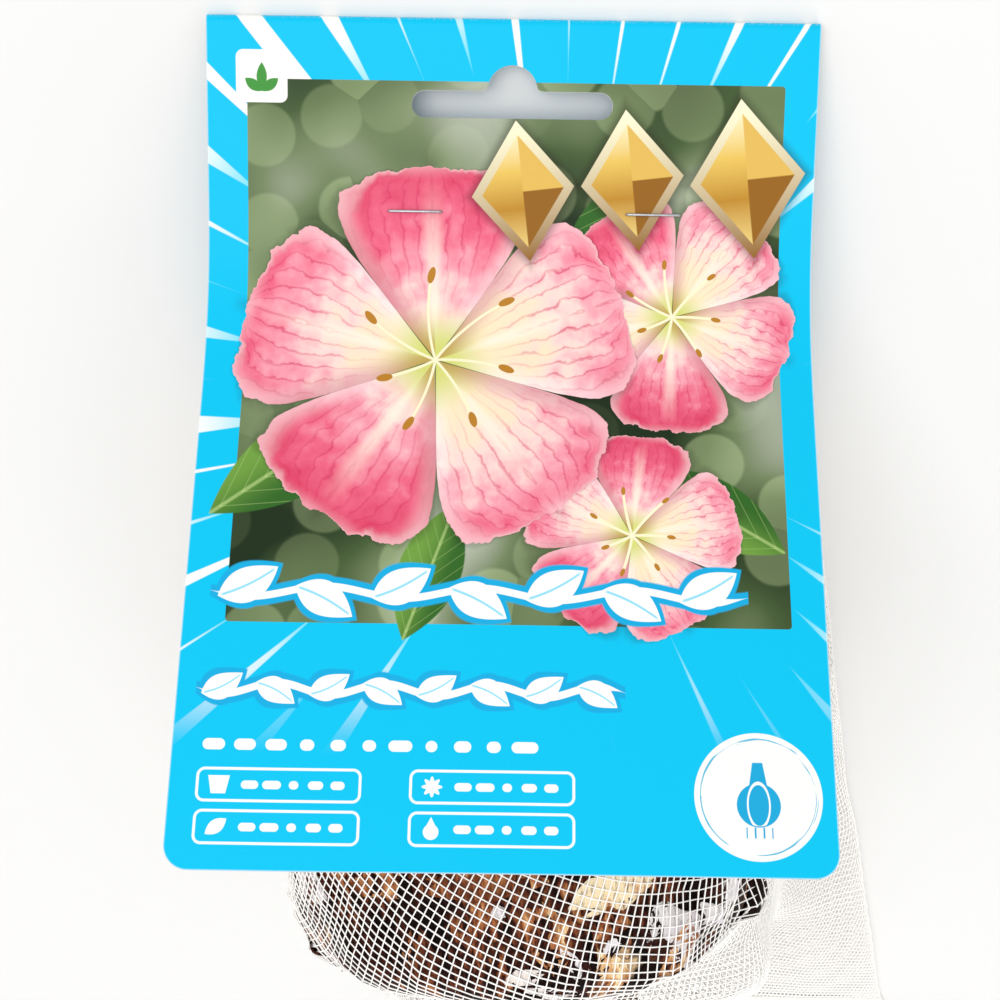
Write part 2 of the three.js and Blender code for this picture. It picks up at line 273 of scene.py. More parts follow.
world = bpy.data.worlds.new("white_tent")
world.use_nodes = True
for key, value in (("Color", (1.0, 0.995, 0.985, 1.0)), ("Strength", 0.74)):
    world.node_tree.nodes["Background"].inputs[key].default_value = value
bpy.context.scene.world = world


def soft_lamp(name, place, size, power):
    lamp = in_scene(name, bpy.data.lights.new(name, "AREA"))
    lamp.data.shape = "DISK"
    lamp.data.size = size
    lamp.data.energy = power
    direction = Vector(place) - LAMP_AIM
    lamp.matrix_world = Matrix.Translation(place) @ direction.to_track_quat("Z", "Y").to_matrix().to_4x4()
    print(name, "at", place, "with", power, "W")


soft_lamp("lamp_overhead", (-0.25, 0.30, 0.95), size=0.9, power=4.5)
soft_lamp("lamp_low_side", (0.45, -0.75, 0.55), size=0.8, power=2.25)

# %% [markdown]
# ## The header card's side view
#
# The card is one sheet of coated board, folded over the mouth of the bag. Its front panel rises
# from the fold and leans on the bulb, and its back panel comes down behind the staples and lies
# flat. A side view is drawn as (run, rise): the distance from the fold and the height. Following
# the middle of the board from the lower edge behind, over the fold, to the lower edge in front
# gives one line, and a flat sheet can then be bent along it.

# %% Line that the card follows
BOARD = 0.35 * MM
CARD_WIDTH = 100 * MM
PANEL_LENGTH = 138 * MM
CARD_CORNER = 3.8 * MM
HALF_GAP = 0.925 * MM  # from the middle plane to the middle of each panel
LIFT = math.radians(16.5)
LEAN = math.radians(46.3)
BEND_START, BEND_END = 24 * MM, 64 * MM
STAPLE_FROM_FOLD = 30 * MM
BACK_DROP = 54 * MM
FOLD_ARC = math.pi * HALF_GAP


def step_lengths(points):
    """How long each step is along a line of points."""
    return np.linalg.norm(np.diff(points, axis=0), axis=1)


def distances(points):
    """How far along a line each of its points lies."""
    return np.concatenate([[0], np.cumsum(step_lengths(points))])


card_low, card_high = [Vector(corner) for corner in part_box("header_card")]
CARD_MIDDLE = (card_low.x + card_high.x) / 2
FOLD_Y = card_high.y


def heading(angle):
    """The direction (run, rise) that climbs at an angle."""
    return np.array([math.cos(angle), math.sin(angle)])


fold_centre = np.full(2, HALF_GAP + BOARD / 2)
lift_side = heading(LIFT + math.pi / 2)


def front_line(step=1 * MM):
    points = [fold_centre + lift_side * HALF_GAP]
    for i in range(round(PANEL_LENGTH / step)):
        share = np.clip(((i + 0.5) * step - BEND_START) / (BEND_END - BEND_START), 0, 1)
        angle = LIFT + (LEAN - LIFT) * share * share * (3 - 2 * share)
        points.append(points[-1] + step * heading(angle))
    return points


def back_line():
    start = fold_centre - lift_side * HALF_GAP
    crest = start + (STAPLE_FROM_FOLD + 3 * MM) * heading(LIFT)
    landing = np.array([crest[0] + BACK_DROP, BOARD / 2])
    handles = [crest, crest + 0.35 * BACK_DROP * heading(LIFT), landing - [0.5 * BACK_DROP, 0], landing]
    shares = np.linspace(0, 1, 60)
    weights = [[math.comb(3, k) * (1 - t) ** (3 - k) * t**k for k in range(4)] for t in shares]
    drop = [np.dot(weight, handles) for weight in weights]
    rise = [start + (crest - start) * t for t in np.linspace(0, 1, 30, endpoint=False)]
    done = step_lengths(rise + drop).sum()
    flat = [landing + [(PANEL_LENGTH - done) * t, 0] for t in np.linspace(0.02, 1, 50)]
    return rise + drop + flat


fold_line = [
    fold_centre + HALF_GAP * heading(LIFT - math.pi / 2 - math.pi * t) for t in np.linspace(0, 1, 17)[1:-1]
]
card_line = np.array(back_line()[::-1] + fold_line + front_line())
card_distance = distances(card_line) - (PANEL_LENGTH + FOLD_ARC / 2)  # 0 on the crest, more in front
card_travel = np.gradient(card_line, card_distance, axis=0)
print("card from", round(card_distance[0] / MM, 1), "to", round(card_distance[-1] / MM, 1), "mm")


def on_card(across, down, out=0.0):
    """The place of a point of the flat card: across from its middle, down from the crest of the
    fold (negative behind), and out from the middle of the board."""
    run, rise = [np.interp(down, card_distance, card_line[:, i]) for i in (0, 1)]
    along = np.array([np.interp(down, card_distance, card_travel[:, i]) for i in (0, 1)])
    along /= np.linalg.norm(along)
    run, rise = run - out * along[1], rise + out * along[0]
    return Vector((CARD_MIDDLE + across, FOLD_Y - run, rise))

# %% [markdown]
# ## The card itself
#
# The board could be two bent planes with a Solidify modifier, but the hang slot and the rounded
# corners are cut while the card is flat, so the model is made the same way: a thin blank, its four
# corners bevelled, the slot cut out of both panels, and only then bent along the line above. The
# blank is scored across first, closely at the fold, so that it has edges to bend at. The print's
# coordinates are written while the card is still flat.

# %% Helpers for meshes
def new_piece(name, mesh, *materials, smooth_angle=40, slot=None):
    """Turns a bmesh into a piece that rides on the pack."""
    piece = in_scene(name, bpy.data.meshes.new(name))
    for face in mesh.faces:
        face.smooth = True
    mesh.to_mesh(piece.data)
    mesh.free()
    piece.data.set_sharp_from_angle(angle=math.radians(smooth_angle))
    for material in materials:
        piece.data.materials.append(material)
    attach(piece, "root")
    print(name, "has", sum(len(p.vertices) - 2 for p in piece.data.polygons), "triangles")
    return piece


def cut_across(mesh, place, axis):
    """Scores the whole mesh with a plane across an axis."""
    geometry = mesh.verts[:] + mesh.edges[:] + mesh.faces[:]
    middle, normal = Vector(), Vector()
    middle[axis] = place
    normal[axis] = 1.0
    bmesh.ops.bisect_plane(mesh, geom=geometry, dist=1e-7, plane_co=middle, plane_no=normal)


def upright_edges(mesh, test=lambda x, y: True):
    """The edges through the thickness of a flat blank, where test says so."""
    ends = [(edge, *[vert.co for vert in edge.verts]) for edge in mesh.edges]
    return [edge for edge, a, b in ends if (a.xy - b.xy).length < 1e-6 and test(a.x, a.y)]


def minus(mesh, cutter):
    """The blank with the cutter's shape taken out of it."""
    scratch = []
    for part in (mesh, cutter):
        scratch.append(in_scene("scratch", bpy.data.meshes.new("scratch")))
        part.to_mesh(scratch[-1].data)
        part.free()
    cut = scratch[0].modifiers.new("cut", "BOOLEAN")
    cut.operation = "DIFFERENCE"
    cut.solver = "EXACT"
    cut.object = scratch[1]
    result = bmesh.new()
    result.from_object(scratch[0], bpy.context.evaluated_depsgraph_get())
    for holder in scratch:
        bpy.data.objects.remove(holder)
    return result

# %% Flat blank with its slots
SLOT_FROM_FOLD = 12.6 * MM
SLOT_LENGTH, SLOT_BAND, SLOT_BUMP, SLOT_CORNER = 33 * MM, 4.4 * MM, 4.1 * MM, 1.1 * MM


def box_blank(width, length, height, place=(0, 0, 0)):
    mesh = bmesh.new()
    shape = Matrix.Translation(place) @ Matrix.Diagonal((width, length, height, 1))
    bmesh.ops.create_cube(mesh, size=1.0, matrix=shape)
    return mesh


def round_off(mesh, edges, radius, segments):
    bmesh.ops.bevel(
        mesh, geom=edges, offset=radius, segments=segments, affect="EDGES", profile=0.5, material=-1
    )


def slot_cutter(side):
    """A long band with rounded ends; side is 1 in front and -1 behind."""
    place = (0, side * (SLOT_FROM_FOLD + FOLD_ARC / 2), 0)
    band = box_blank(SLOT_LENGTH, SLOT_BAND, 4 * MM, place)
    round_off(band, upright_edges(band), SLOT_BAND / 2 * 0.98, 8)
    return band


def bump_cutter(middle):
    """The round bump on the slot that centres the pack on its hook."""
    disc = bmesh.new()
    bmesh.ops.create_cone(
        disc, cap_ends=True, segments=40, radius1=SLOT_BUMP, radius2=SLOT_BUMP, depth=5 * MM,
        matrix=Matrix.Translation((0, middle, 0)),
    )
    return disc


card = box_blank(CARD_WIDTH, 2 * PANEL_LENGTH + FOLD_ARC, BOARD)
round_off(card, upright_edges(card), CARD_CORNER, 9)
for side in (1, -1):
    throat = side * (SLOT_FROM_FOLD + FOLD_ARC / 2 - SLOT_BAND / 2)
    card = minus(minus(card, slot_cutter(side)), bump_cutter(throat))
    corners = upright_edges(
        card, lambda x, y: abs(y - throat) < 0.05 * MM and 0 < abs(x) - SLOT_BUMP + 0.1 * MM < 0.3 * MM
    )
    print("slot corners rounded:", len(corners))
    round_off(card, corners, SLOT_CORNER, 4)

# %% Score lines, print coordinates and bend
PRINT_SCALE = 100 * MM  # one unit of the print's coordinates
PICTURE_FOOT = 105.5 * MM  # below this the print has no picture
CARD_SIDES = {  # material, then left, width, foot and height of the side's room in a baked picture
    "front": (0, 0.005, 0.62, 0.005, 0.86), "back": (2, 0.65, 0.30, 0.005, 0.42),
    "inside": (3, 0.65, 0.30, 0.44, 0.42), "edge": (4, 0.01, 1.0, 0.9, 0.08),
}
FULL_REACH = PANEL_LENGTH + FOLD_ARC / 2

fold_scores = np.linspace(-1.7, 1.7, 15) * MM
panel_scores = np.linspace(4 * MM, PANEL_LENGTH - 2 * MM, 62)
for place in [*fold_scores, *panel_scores, *-panel_scores]:
    cut_across(card, place, 1)
cut_across(card, PICTURE_FOOT, 1)
for place in np.linspace(-44, 44, 9) * MM:
    cut_across(card, place, 0)
card.normal_update()

printed = card.loops.layers.uv.new("print")
baked = card.loops.layers.uv.new("OFBake")
for face in card.faces:
    down = face.calc_center_median().y
    side = "front" if down > 0 else "back"
    if face.normal.z < 0.7:
        side = "inside" if face.normal.z < -0.7 else "edge"
    face.material_index, left, width, foot, height = CARD_SIDES[side]
    if side == "front" and down > PICTURE_FOOT:
        face.material_index = 1
    for loop in face.loops:
        x, y, z = loop.vert.co
        loop[printed].uv = (x / PRINT_SCALE, y / PRINT_SCALE)
        across, reach = x / CARD_WIDTH + 0.5, abs(y) / FULL_REACH
        if side == "inside":
            reach = (1 + y / FULL_REACH) / 2
        elif side == "edge":
            across, reach = 0.98 * abs(y) / PANEL_LENGTH % 1, z / BOARD + 0.5
        loop[baked].uv = (left + width * across, foot + height * reach)

CARD_WARP = 0.45 * MM


def card_warp(across, down):
    """How far handling has bowed the board: nothing at the staples, most at the lower edges."""
    loose = np.clip(abs(down) / PANEL_LENGTH - 0.35, 0, 1) ** 2 * 2.4
    wave = 1.2 + math.sin(across / (19 * MM) + 0.7) + 0.3 * math.sin(across / (9 * MM) + 2.0)
    return CARD_WARP * loose * wave if down > 0 else 0.0


for vert in card.verts:
    across, down, out = vert.co
    vert.co = on_card(across, down, out + card_warp(across, down))
bmesh.ops.reverse_faces(card, faces=card.faces)  # the bend turns the board inside out

# %% [markdown]
# ## What is printed on the card
#
# The print is artwork, so it is drawn the way a printer's layers go down: each function takes the
# colour so far and lays one motif over it. Places are in millimetres on the flat card, across from
# its middle and down from its fold. The motifs are plain ones: a sunburst on sky blue, a picture of
# garden blossoms, three gilt lozenges, leaf sprays and little care signs. An image would need a
# file, and would go soft close up, while maths stays sharp.

# %% Shapes to print with
PALE = ink(252, 250, 246)
SKY = ink(4, 196, 240)
FAR_AWAY = 50.0  # millimetres, added to a distance to take a shape off the print


def laid(colour, distance, above, soft=0.07):
    """The colour with a shape over it; the distance to its outline is negative inside it."""
    return mix(distance.step(soft, -soft), colour, above)


def rounded_box(spot, half_width, half_height, corner):
    inner = (half_width - corner, half_height - corner, 0.0)
    return spot.vector("ABSOLUTE").vector("SUBTRACT", inner).vector("MAXIMUM").length() - corner


def leaf(spot, place, angle, length, width):
    """The distance to a leaf that grows from a place at an angle, and where along it a point is."""
    middle = (place[0] + length / 2 * math.cos(angle), place[1] + length / 2 * math.sin(angle))
    x, y = spot.seen_from(middle, angle, (length / 2, width / 2)).parts()
    return x.times_plus(x, abs(y)).times_plus(width / 2, -width / 2), x, y


def scatter(number, row):
    """A steady random number from 0 to 1 for each whole number."""
    place = spot_at(number, number, row)
    return place.node("TexWhiteNoise", {"Vector": place}, noise_dimensions="2D")


def ring(distance, width):
    return abs(distance) - width / 2


def sectors(x, y, count, start=0.0):
    """Cuts a circle into sectors: the number of the one a point is in, and how far through it."""
    angle = y.maths("ARCTAN2", x)
    turns = (angle + start if start else angle) * (count / (2 * math.pi))
    number = turns.maths("FLOOR")
    return number, turns - number


def in_row(spot, row, left, count, pitch):
    """Cuts a row into cells: the place in cells, the number of the cell, and 1 beyond the ends."""
    x, y = spot.seen_from((left, row), size=(pitch, 1.0)).parts()
    number = x.maths("FLOOR")
    return x, y, number, abs(number - (count - 1) / 2) > count / 2

# %% Sunburst and garden
RAY_COUNT = 46
BURST = (9.0, 63.0)  # where the rays point to


def sunburst(spot):
    from_burst = spot.seen_from(BURST)
    x, y = from_burst.parts()
    reach = from_burst.length()
    number, part = sectors(x, y, RAY_COUNT)
    chance = scatter(number, 3.0)
    start = scatter(number, 11.0).times_plus(24.0, 40.0)
    half_width = ((reach - start) * chance.times_plus(chance * 0.1, 0.015)).least(1.6)
    off_axis = abs(part - 0.5) * reach * (2 * math.pi / RAY_COUNT)
    faded = mix((reach - start).step(0, 17), ink(110, 220, 249), PALE)
    above_foot = spot.parts()[1].step(121, 101)
    return mix((off_axis - half_width).step(0.12, -0.12) * above_foot, SKY, faded)


GREENS = [
    (0.34, ink(30, 48, 26)), (0.48, ink(70, 92, 54)), (0.60, ink(114, 132, 94)),
    (0.78, ink(186, 192, 176)),
]


def garden(colour, spot):
    """A picture of greenery far out of focus."""
    drift = spot.flat_noise(0.030, detail=1.5)
    far = drift.toned(GREENS)
    values = {"Vector": spot, "Scale": 0.085, "Randomness": 0.9}
    spots = spot.node("TexVoronoi", values, voronoi_dimensions="2D")
    chance = Flow(spot.tree, spots.socket.node.outputs["Color"]).parts()[0]
    blurred = mix(spots.step(0.46, 0.40) * chance * 0.3, far, ink(186, 206, 150), "SCREEN")
    frame_edge = rounded_box(spot.seen_from((0.6, 54.5)), 44.0, 45.5, 0.6)
    return laid(colour, frame_edge, blurred)

# %% Blossoms
PINKS = [
    (0.0, ink(250, 232, 196)), (0.2, ink(252, 218, 212)), (0.42, ink(246, 162, 178)),
    (0.7, ink(236, 104, 134)), (1.0, ink(218, 62, 100)),
]


def petal(angle, reach, number, length, rough):
    """One petal of a blossom, with its axis at an angle from the point: its colour, and the distance
    to its outline. Reach is in petal lengths."""
    along = reach * angle.maths("COSINE")
    beside = abs(reach * angle.maths("SINE"))
    held = along.most(0.001).least(1.0)
    tip = held.times_plus(1.0, rough * 0.09) ** 5.0
    half = 0.74 * held * (1.002 - tip).most(0.0).maths("SQRT")
    outside = (beside - half + 0.004).most(along - 1.0) * length
    share = beside / (half + 0.02)
    chance = scatter(number, 5.0)
    blush = (held + share * share * 0.3 + rough.times_plus(0.5, -0.5) + chance * 0.75).step(0.05, 1.35)
    face = blush.toned(PINKS)
    rib = abs((share * held.times_plus(1.5, 5.0) + rough) % 1.0 - 0.5)
    face = mix(rib.step(0.13, 0.02) * held.step(0.1, 0.7) * rough, face, ink(212, 58, 100))
    face = mix(share.step(0.16, 0.02) * held.step(0.95, 0.3) * 0.75, face, ink(255, 244, 226))
    face = mix(outside.step(-0.12 * length, 0) * 0.4, face, PALE, "SCREEN")
    return mix(held.step(0.3, 0.05), face, ink(214, 218, 120)), outside


def blossom(colour, spot, place, length, start, count=5):
    """Petals set like a pinwheel: each one lies over the next, whose edge it shades."""
    local = spot.seen_from(place, size=(length, length))
    x, y = local.parts()
    reach = local.length()
    rough = local.flat_noise(9.0, detail=3.0)
    number, part = sectors(x, y, count, start)
    sector = 2 * math.pi / count
    near, near_edge = petal(part * sector, reach, number % count, length, rough)
    far, far_edge = petal((part - 1) * sector, reach, (number + 1) % count, length, rough)
    shadow = near_edge.least(far_edge).step(2.5, -1.0) * reach.step(1.06, 0.92) * 0.5
    colour = mix(shadow, colour, ink(30, 40, 26))
    shaded = mix(near_edge.step(0.16 * length, 0) * 0.5, far, ink(196, 60, 96), "MULTIPLY")
    colour = laid(colour, far_edge, shaded)
    colour = laid(colour, near_edge, near)
    return stamens(colour, reach * length, x, y, length)


def stamens(colour, reach, x, y, length, count=7):
    number, part = sectors(x, y, count, 0.4)
    angle = (part - 0.5) * (2 * math.pi / count)
    along, beside = reach * angle.maths("COSINE"), reach * angle.maths("SINE")
    tip = scatter(number, 8.0).times_plus(0.2 * length, 0.26 * length)
    bow = beside + along * (0.12 - 0.016 * along)
    colour = laid(colour, (abs(bow) - 0.22).most(along - tip), ink(250, 244, 206))
    head = spot_at(bow, (along - tip) * 0.9, bow * 1.8).length()
    return laid(colour, head - 0.035 * length, ink(186, 128, 44))

# %% Foliage, gilt lozenges and leaf sprays
def foliage(colour, spot, place, angle, length, width):
    edge, x, y = leaf(spot, place, angle, length, width)
    green = mix(y.step(-0.7, 0.7), ink(50, 102, 38), ink(112, 158, 66))
    rib = abs(x.times_plus(4.0, abs(y) * 2.5) % 1.0 - 0.5)
    pale = rib.step(0.06, 0.0).times_plus(0.35, abs(y).step(0.07, 0.02) * 0.6)
    return laid(colour, edge, mix(pale, green, ink(180, 208, 130)), soft=0.15)


GILT = [
    (0.0, ink(252, 250, 214)), (0.35, ink(233, 196, 96)), (0.62, ink(190, 138, 46)),
    (1.0, ink(246, 222, 140)),
]


def lozenge(colour, spot, place, half_width, half_height):
    x, y = spot.seen_from(place, -0.12, (half_width, half_height)).parts()
    edge = (abs(x) + abs(y)).times_plus(0.8 * half_width, -0.8 * half_width)
    colour = mix(edge.step(1.8, -0.6) * 0.6, colour, ink(36, 26, 14))
    sheen = y.times_plus(0.5, 0.5)
    left = sheen.toned(GILT)
    right = mix(y.step(-0.01, 0.01), ink(226, 186, 92), ink(150, 100, 30))
    face = mix(x.step(-0.01, 0.01), left, right)
    rim = mix(sheen, ink(255, 250, 214), ink(146, 98, 32))
    return laid(colour, edge, mix(edge.step(-1.3, -1.45), rim, face))


def leaf_spray(colour, spot, row, left, count, pitch, length, width):
    """A row of pale leaves, turned up and down by turns on a waving stem, with a blue outline."""
    x, y, number, away = in_row(spot, row, left, count, pitch)
    sway = (x * math.pi).maths("SINE") * 0.9
    flip = (number % 2.0).times_plus(2.0, -1.0)
    side = (y - sway) * flip
    cell = spot_at(x, (x - number) * pitch, side)
    blade, u, v = leaf(cell, (0.1 * pitch, -0.6), 0.5, length, width)
    taper = abs(x / count - 0.5).step(0.5, 0.44) * 0.6
    shape = blade.least(abs(y - sway) - taper) + away * FAR_AWAY
    colour = laid(colour, shape - 1.0, ink(22, 172, 224), soft=0.2)
    vein = abs(v).step(0.1, 0.04) * abs(u).step(0.95, 0.8) * blade.step(0.0, -0.1)
    return laid(colour, shape, mix(vein, PALE, ink(150, 222, 244)))

# %% Care signs
def dots(colour, spot, row, left, count, pitch, radius):
    """A row of round-ended dots of several lengths, where small print would be."""
    x, y, number, away = in_row(spot, row, left, count, pitch)
    reach = scatter(number, row) * (pitch / 2 - radius - 0.25)
    past = (abs(x - number - 0.5) * pitch - reach).most(0.0)
    return laid(colour, spot_at(x, past, y).length() + away * FAR_AWAY - radius, PALE)


SIGN_COLUMNS, SIGN_ROWS = (-33.5, -1.5), (125.3, 131.6)
SIGN_AT = -9.0  # the sign stands this far from the middle of its tag


def care_tags(colour, spot):
    """Four outlined tags, two beside two, each with a line of dots."""
    x, y = spot.parts()
    right, lower = x > sum(SIGN_COLUMNS) / 2, y > sum(SIGN_ROWS) / 2
    step = spot_at(
        spot, right * (SIGN_COLUMNS[1] - SIGN_COLUMNS[0]), lower * (SIGN_ROWS[1] - SIGN_ROWS[0])
    )
    local = spot.vector("SUBTRACT", step).seen_from((SIGN_COLUMNS[0], SIGN_ROWS[0]))
    colour = laid(colour, ring(rounded_box(local, 12.2, 2.4, 1.1), 0.4), PALE)
    return dots(colour, local, 0.0, -6.0, 5, 3.3, 0.62)


def care_signs(colour, spot):
    """A pot, a leaf, a sun and a drop, each in its tag."""
    columns = [place + SIGN_AT for place in SIGN_COLUMNS]
    x, y = spot.seen_from((columns[0], SIGN_ROWS[0])).parts()
    pot = (abs(x) + y * 0.2).most(abs(y)) - 1.35
    blade = leaf(spot, (columns[0] - 1.5, SIGN_ROWS[1] + 1.1), -0.65, 3.8, 2.0)[0]
    at_sun = spot.seen_from((columns[1], SIGN_ROWS[0]))
    x, y = at_sun.parts()
    sun = at_sun.length() - (y.maths("ARCTAN2", x) * 8.0).maths("COSINE").times_plus(0.3, 1.25)
    at_drop = spot.seen_from((columns[1], SIGN_ROWS[1] + 0.4))
    x, y = at_drop.parts()
    peak = abs(x).times_plus(1.9, -1.0 * y - 2.2).most(y)
    drop = (at_drop.length() - 1.15).least(peak)
    for sign in (pot, blade, sun, drop):
        colour = laid(colour, sign, PALE)
    return colour

# %% Badge and corner tag
def badge(colour, spot, place, radius):
    """A pale round badge with a brushed ring and a bulb in the middle of it."""
    local = spot.seen_from(place)
    x, y = local.parts()
    reach = local.length()
    colour = laid(colour, reach - radius, ink(250, 250, 245))
    brush = spot_at(x, reach * 3.0, y.maths("ARCTAN2", x)).flat_noise(1.4)
    colour = laid(colour, ring(reach - radius * 0.9, 0.3) + brush.times_plus(1.2, -0.5), ink(96, 188, 222))
    belly = local.seen_from((0.0, 1.3)).length() - 3.3
    slope = (y + 5.2).most(0.0) * 0.17
    neck = (abs(x) - 0.75 - slope).most(abs(y + 2.6) - 2.5)
    outline = belly.least(neck)
    colour = laid(colour, outline, ink(30, 168, 218))
    skin = ring(local.seen_from((0.0, 1.3), size=(0.5, 1.0)).length() - 3.3, 0.5)
    colour = laid(colour, skin.most(outline + 0.2), ink(250, 250, 245))
    hairs = (abs(x % 1.3 - 0.65) - 0.14).most(abs(y - 5.4) - 0.8)
    return laid(colour, hairs.most(abs(x) - 2.0), ink(30, 168, 218))


def corner_tag(colour, spot, place):
    colour = laid(colour, rounded_box(spot.seen_from(place), 4.2, 4.2, 1.2), PALE)
    stem = (place[0], place[1] + 2.4)
    left, right, middle = [
        leaf(spot, stem, angle, size, 1.7)[0] for angle, size in ((-2.5, 3.4), (-0.65, 3.4), (-1.57, 4.6))
    ]
    return laid(colour, left.least(right).least(middle), ink(70, 150, 66))

# %% Coated board
def print_spot(flow):
    """The point of the print in millimetres: across from the middle and down from the fold."""
    place = flow.node("UVMap", uv_map="print").vector("ABSOLUTE")
    side = flow.node("UVMap", uv_map="print").parts()[0]
    down = place.parts()[1].times_plus(PRINT_SCALE / MM, -FOLD_ARC / 2 / MM)
    return spot_at(flow, side * (PRINT_SCALE / MM), down)


def finish_print(flow, colour, spot):
    """Adds the wear along the fold and the rim, and the gloss and faint fibre of coated board."""
    fibre = spot.flat_noise(2.2, detail=3.0)
    crease = spot.parts()[1].step(-0.4, -1.4) * fibre.step(0.5, 0.66) * 0.4
    outline = rounded_box(spot, CARD_WIDTH / 2 / MM, PANEL_LENGTH / MM, CARD_CORNER / MM)
    rim = outline.step(-0.22, -0.05) * 0.45
    colour = mix(crease.most(rim), colour, ink(236, 243, 246))
    finish_material(flow, colour, fibre.times_plus(0.1, 0.36), 0.12, height=fibre, depth=0.012 * MM)

# %% Artwork of the three printed sides
def picture(colour, spot):
    """The upper part of the front: the garden picture with its blossoms."""
    colour = garden(colour, spot)
    for place, angle, length, width in (
        ((-20, 62), 2.5, 34, 13), ((22, 74), 0.55, 26, 11),
        ((8, 46), -1.0, 30, 11), ((-8, 80), 1.9, 24, 10),
    ):
        colour = foliage(colour, spot, place, angle, length, width)
    for place, length, start in (((27, 47), 21, 0.9), ((20, 85), 18, 0.2), ((-12, 55), 34, 0.35)):
        colour = blossom(colour, spot, place, length, start)
    for place, width, height in (((2, 26.5), 8.5, 11.5), ((20, 24.5), 8.5, 11.5), ((39, 24), 9.5, 13)):
        colour = lozenge(colour, spot, place, width, height)
    colour = leaf_spray(colour, spot, 95, -46, 7, 12.0, 10.4, 5.6)
    return corner_tag(colour, spot, (-41, 8.6))


def foot(colour, spot):
    """The lower part of the front: leaf spray, care tags and badge."""
    colour = leaf_spray(colour, spot, 110.5, -47, 8, 8.2, 7.0, 3.9)
    colour = dots(colour, spot, 119.2, -46, 11, 4.7, 0.85)
    colour = care_signs(care_tags(colour, spot), spot)
    return badge(colour, spot, (38.3, 126.0), 9.6)


def back(colour, spot):
    """Blue with a pale panel, in which plain bars stand for the planting notes."""
    colour = laid(colour, rounded_box(spot.seen_from((0, 76)), 43, 52, 4), PALE)
    for i in range(3):
        local = spot.seen_from((28 * i - 28, 44))
        x, y = local.parts()
        colour = laid(colour, local.length() - 10.5, ink(90, 196, 228))
        bowl = (abs(x) + y * 0.25 - 4.75).most(abs(y - 1.5) - 3.8)
        sprout = leaf(local, (0, -1), -1.57, 6.5 - i, 2.6 + i)[0]
        colour = laid(colour, bowl.least(sprout), PALE)
    x, y = spot.seen_from((-37, 62), size=(1.0, 5.0)).parts()
    line = y.maths("FLOOR")
    reach = scatter(line, 4.0).times_plus(8.0, 66.0)
    bar = (abs(y - line - 0.5) * 5 - 0.8).most(abs(x - reach / 2) - reach / 2)
    bar = bar.most(abs(y - 5.5) - 5.5)
    return laid(colour, bar, ink(150, 166, 172))

# %% Materials of the card
def printed_board(artwork):
    """A print over the sunburst; artwork is the function that lays its motifs."""
    material, flow = new_material("printed_board_" + artwork.__name__)
    spot = print_spot(flow)
    finish_print(flow, artwork(sunburst(spot), spot), spot)
    print(material.name, "has", len(material.node_tree.nodes), "nodes")
    return material


def bare_board(name, pale, dark):
    material, flow = new_material(name)
    place = object_place(flow)
    fibre, cloud = place.noise(900.0, detail=4.0), place.noise(60.0)
    tone = mix(fibre * 0.6 + cloud * 0.4, dark, pale)
    finish_material(flow, tone, 0.8 + 0.1 * fibre, 0.2, height=fibre, depth=0.01 * MM)
    return material


card_materials = [printed_board(artwork) for artwork in (picture, foot, back)] + [
    bare_board("uncoated_board", ink(246, 245, 242), ink(226, 225, 221)),
    bare_board("cut_board_edge", ink(236, 240, 242), ink(196, 206, 212)),
]
header_card = new_piece("header_card_printed", card, *card_materials, smooth_angle=40, slot="printed_card")
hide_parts("header_card")

# %% [markdown]
# ## Tubes along lines
#
# Staples, dry roots and the threads of the net are all round stock that follows a line. A Blender
# curve with a bevel is the natural tool: it keeps the section round through every turn, and it can
# thin out along the way. The curve is made a mesh at the end, like every other piece.

# %% Tube helper
def curve_along(lines, thinning=None):
    """A curve object with one line through each list of points."""
    curve = bpy.data.curves.new("lines", "CURVE")
    curve.dimensions = "3D"
    curve.use_fill_caps = True
    for line in lines:
        spline = curve.splines.new("POLY")
        spline.points.add(len(line) - 1)
        spline.points.foreach_set("co", np.c_[np.array(line), np.ones(len(line))].ravel())
        if thinning:
            spline.points.foreach_set("radius", [thinning(t) for t in np.linspace(0, 1, len(line))])
    return in_scene("lines", curve)


def made_mesh(holder):
    """The bmesh of a curve object as it is drawn; the object is removed."""
    mesh = bmesh.new()
    mesh.from_mesh(holder.evaluated_get(bpy.context.evaluated_depsgraph_get()).to_mesh())
    bpy.data.objects.remove(holder)
    return mesh


def tubes(lines, radius, rings=2, thinning=None):
    """Round tubes along lines of points; thinning gives each point a share of the radius."""
    holder = curve_along(lines, thinning)
    holder.data.bevel_depth = radius
    holder.data.bevel_resolution = rings
    return made_mesh(holder)


def rounded(corners, radius, steps=5):
    """A line with an arc in place of each inner corner."""
    points = [Vector(corners[0])]
    for before, corner, after in zip(corners, corners[1:], corners[2:]):
        corner = Vector(corner)
        start = corner + (Vector(before) - corner).normalized() * radius
        end = corner + (Vector(after) - corner).normalized() * radius
        points += [start.lerp(corner, t).lerp(corner.lerp(end, t), t) for t in np.linspace(0, 1, steps)]
    return points + [Vector(corners[-1])]


def catmull_rom(points, steps):
    """A smooth line through the points."""
    points = [2 * points[0] - points[1], *points, 2 * points[-1] - points[-2]]
    line = []
    for a, b, c, d in zip(points, points[1:], points[2:], points[3:]):
        bend, twist = 2 * a - 5 * b + 4 * c - d, 3 * b - a - 3 * c + d
        for t in np.linspace(0, 1, steps, endpoint=False):
            line.append(0.5 * (2 * b + (c - a) * t + bend * t**2 + twist * t**3))
    return line + [points[-2]]

# %% [markdown]
# ## Staples
#
# Each staple is one piece of half-millimetre steel wire. Its crown lies across the front panel, its
# legs go through both panels and the net, and their ends are bent inwards under the back panel. The
# CAD node has the same path with a square section; a tube along the path gives the round wire.

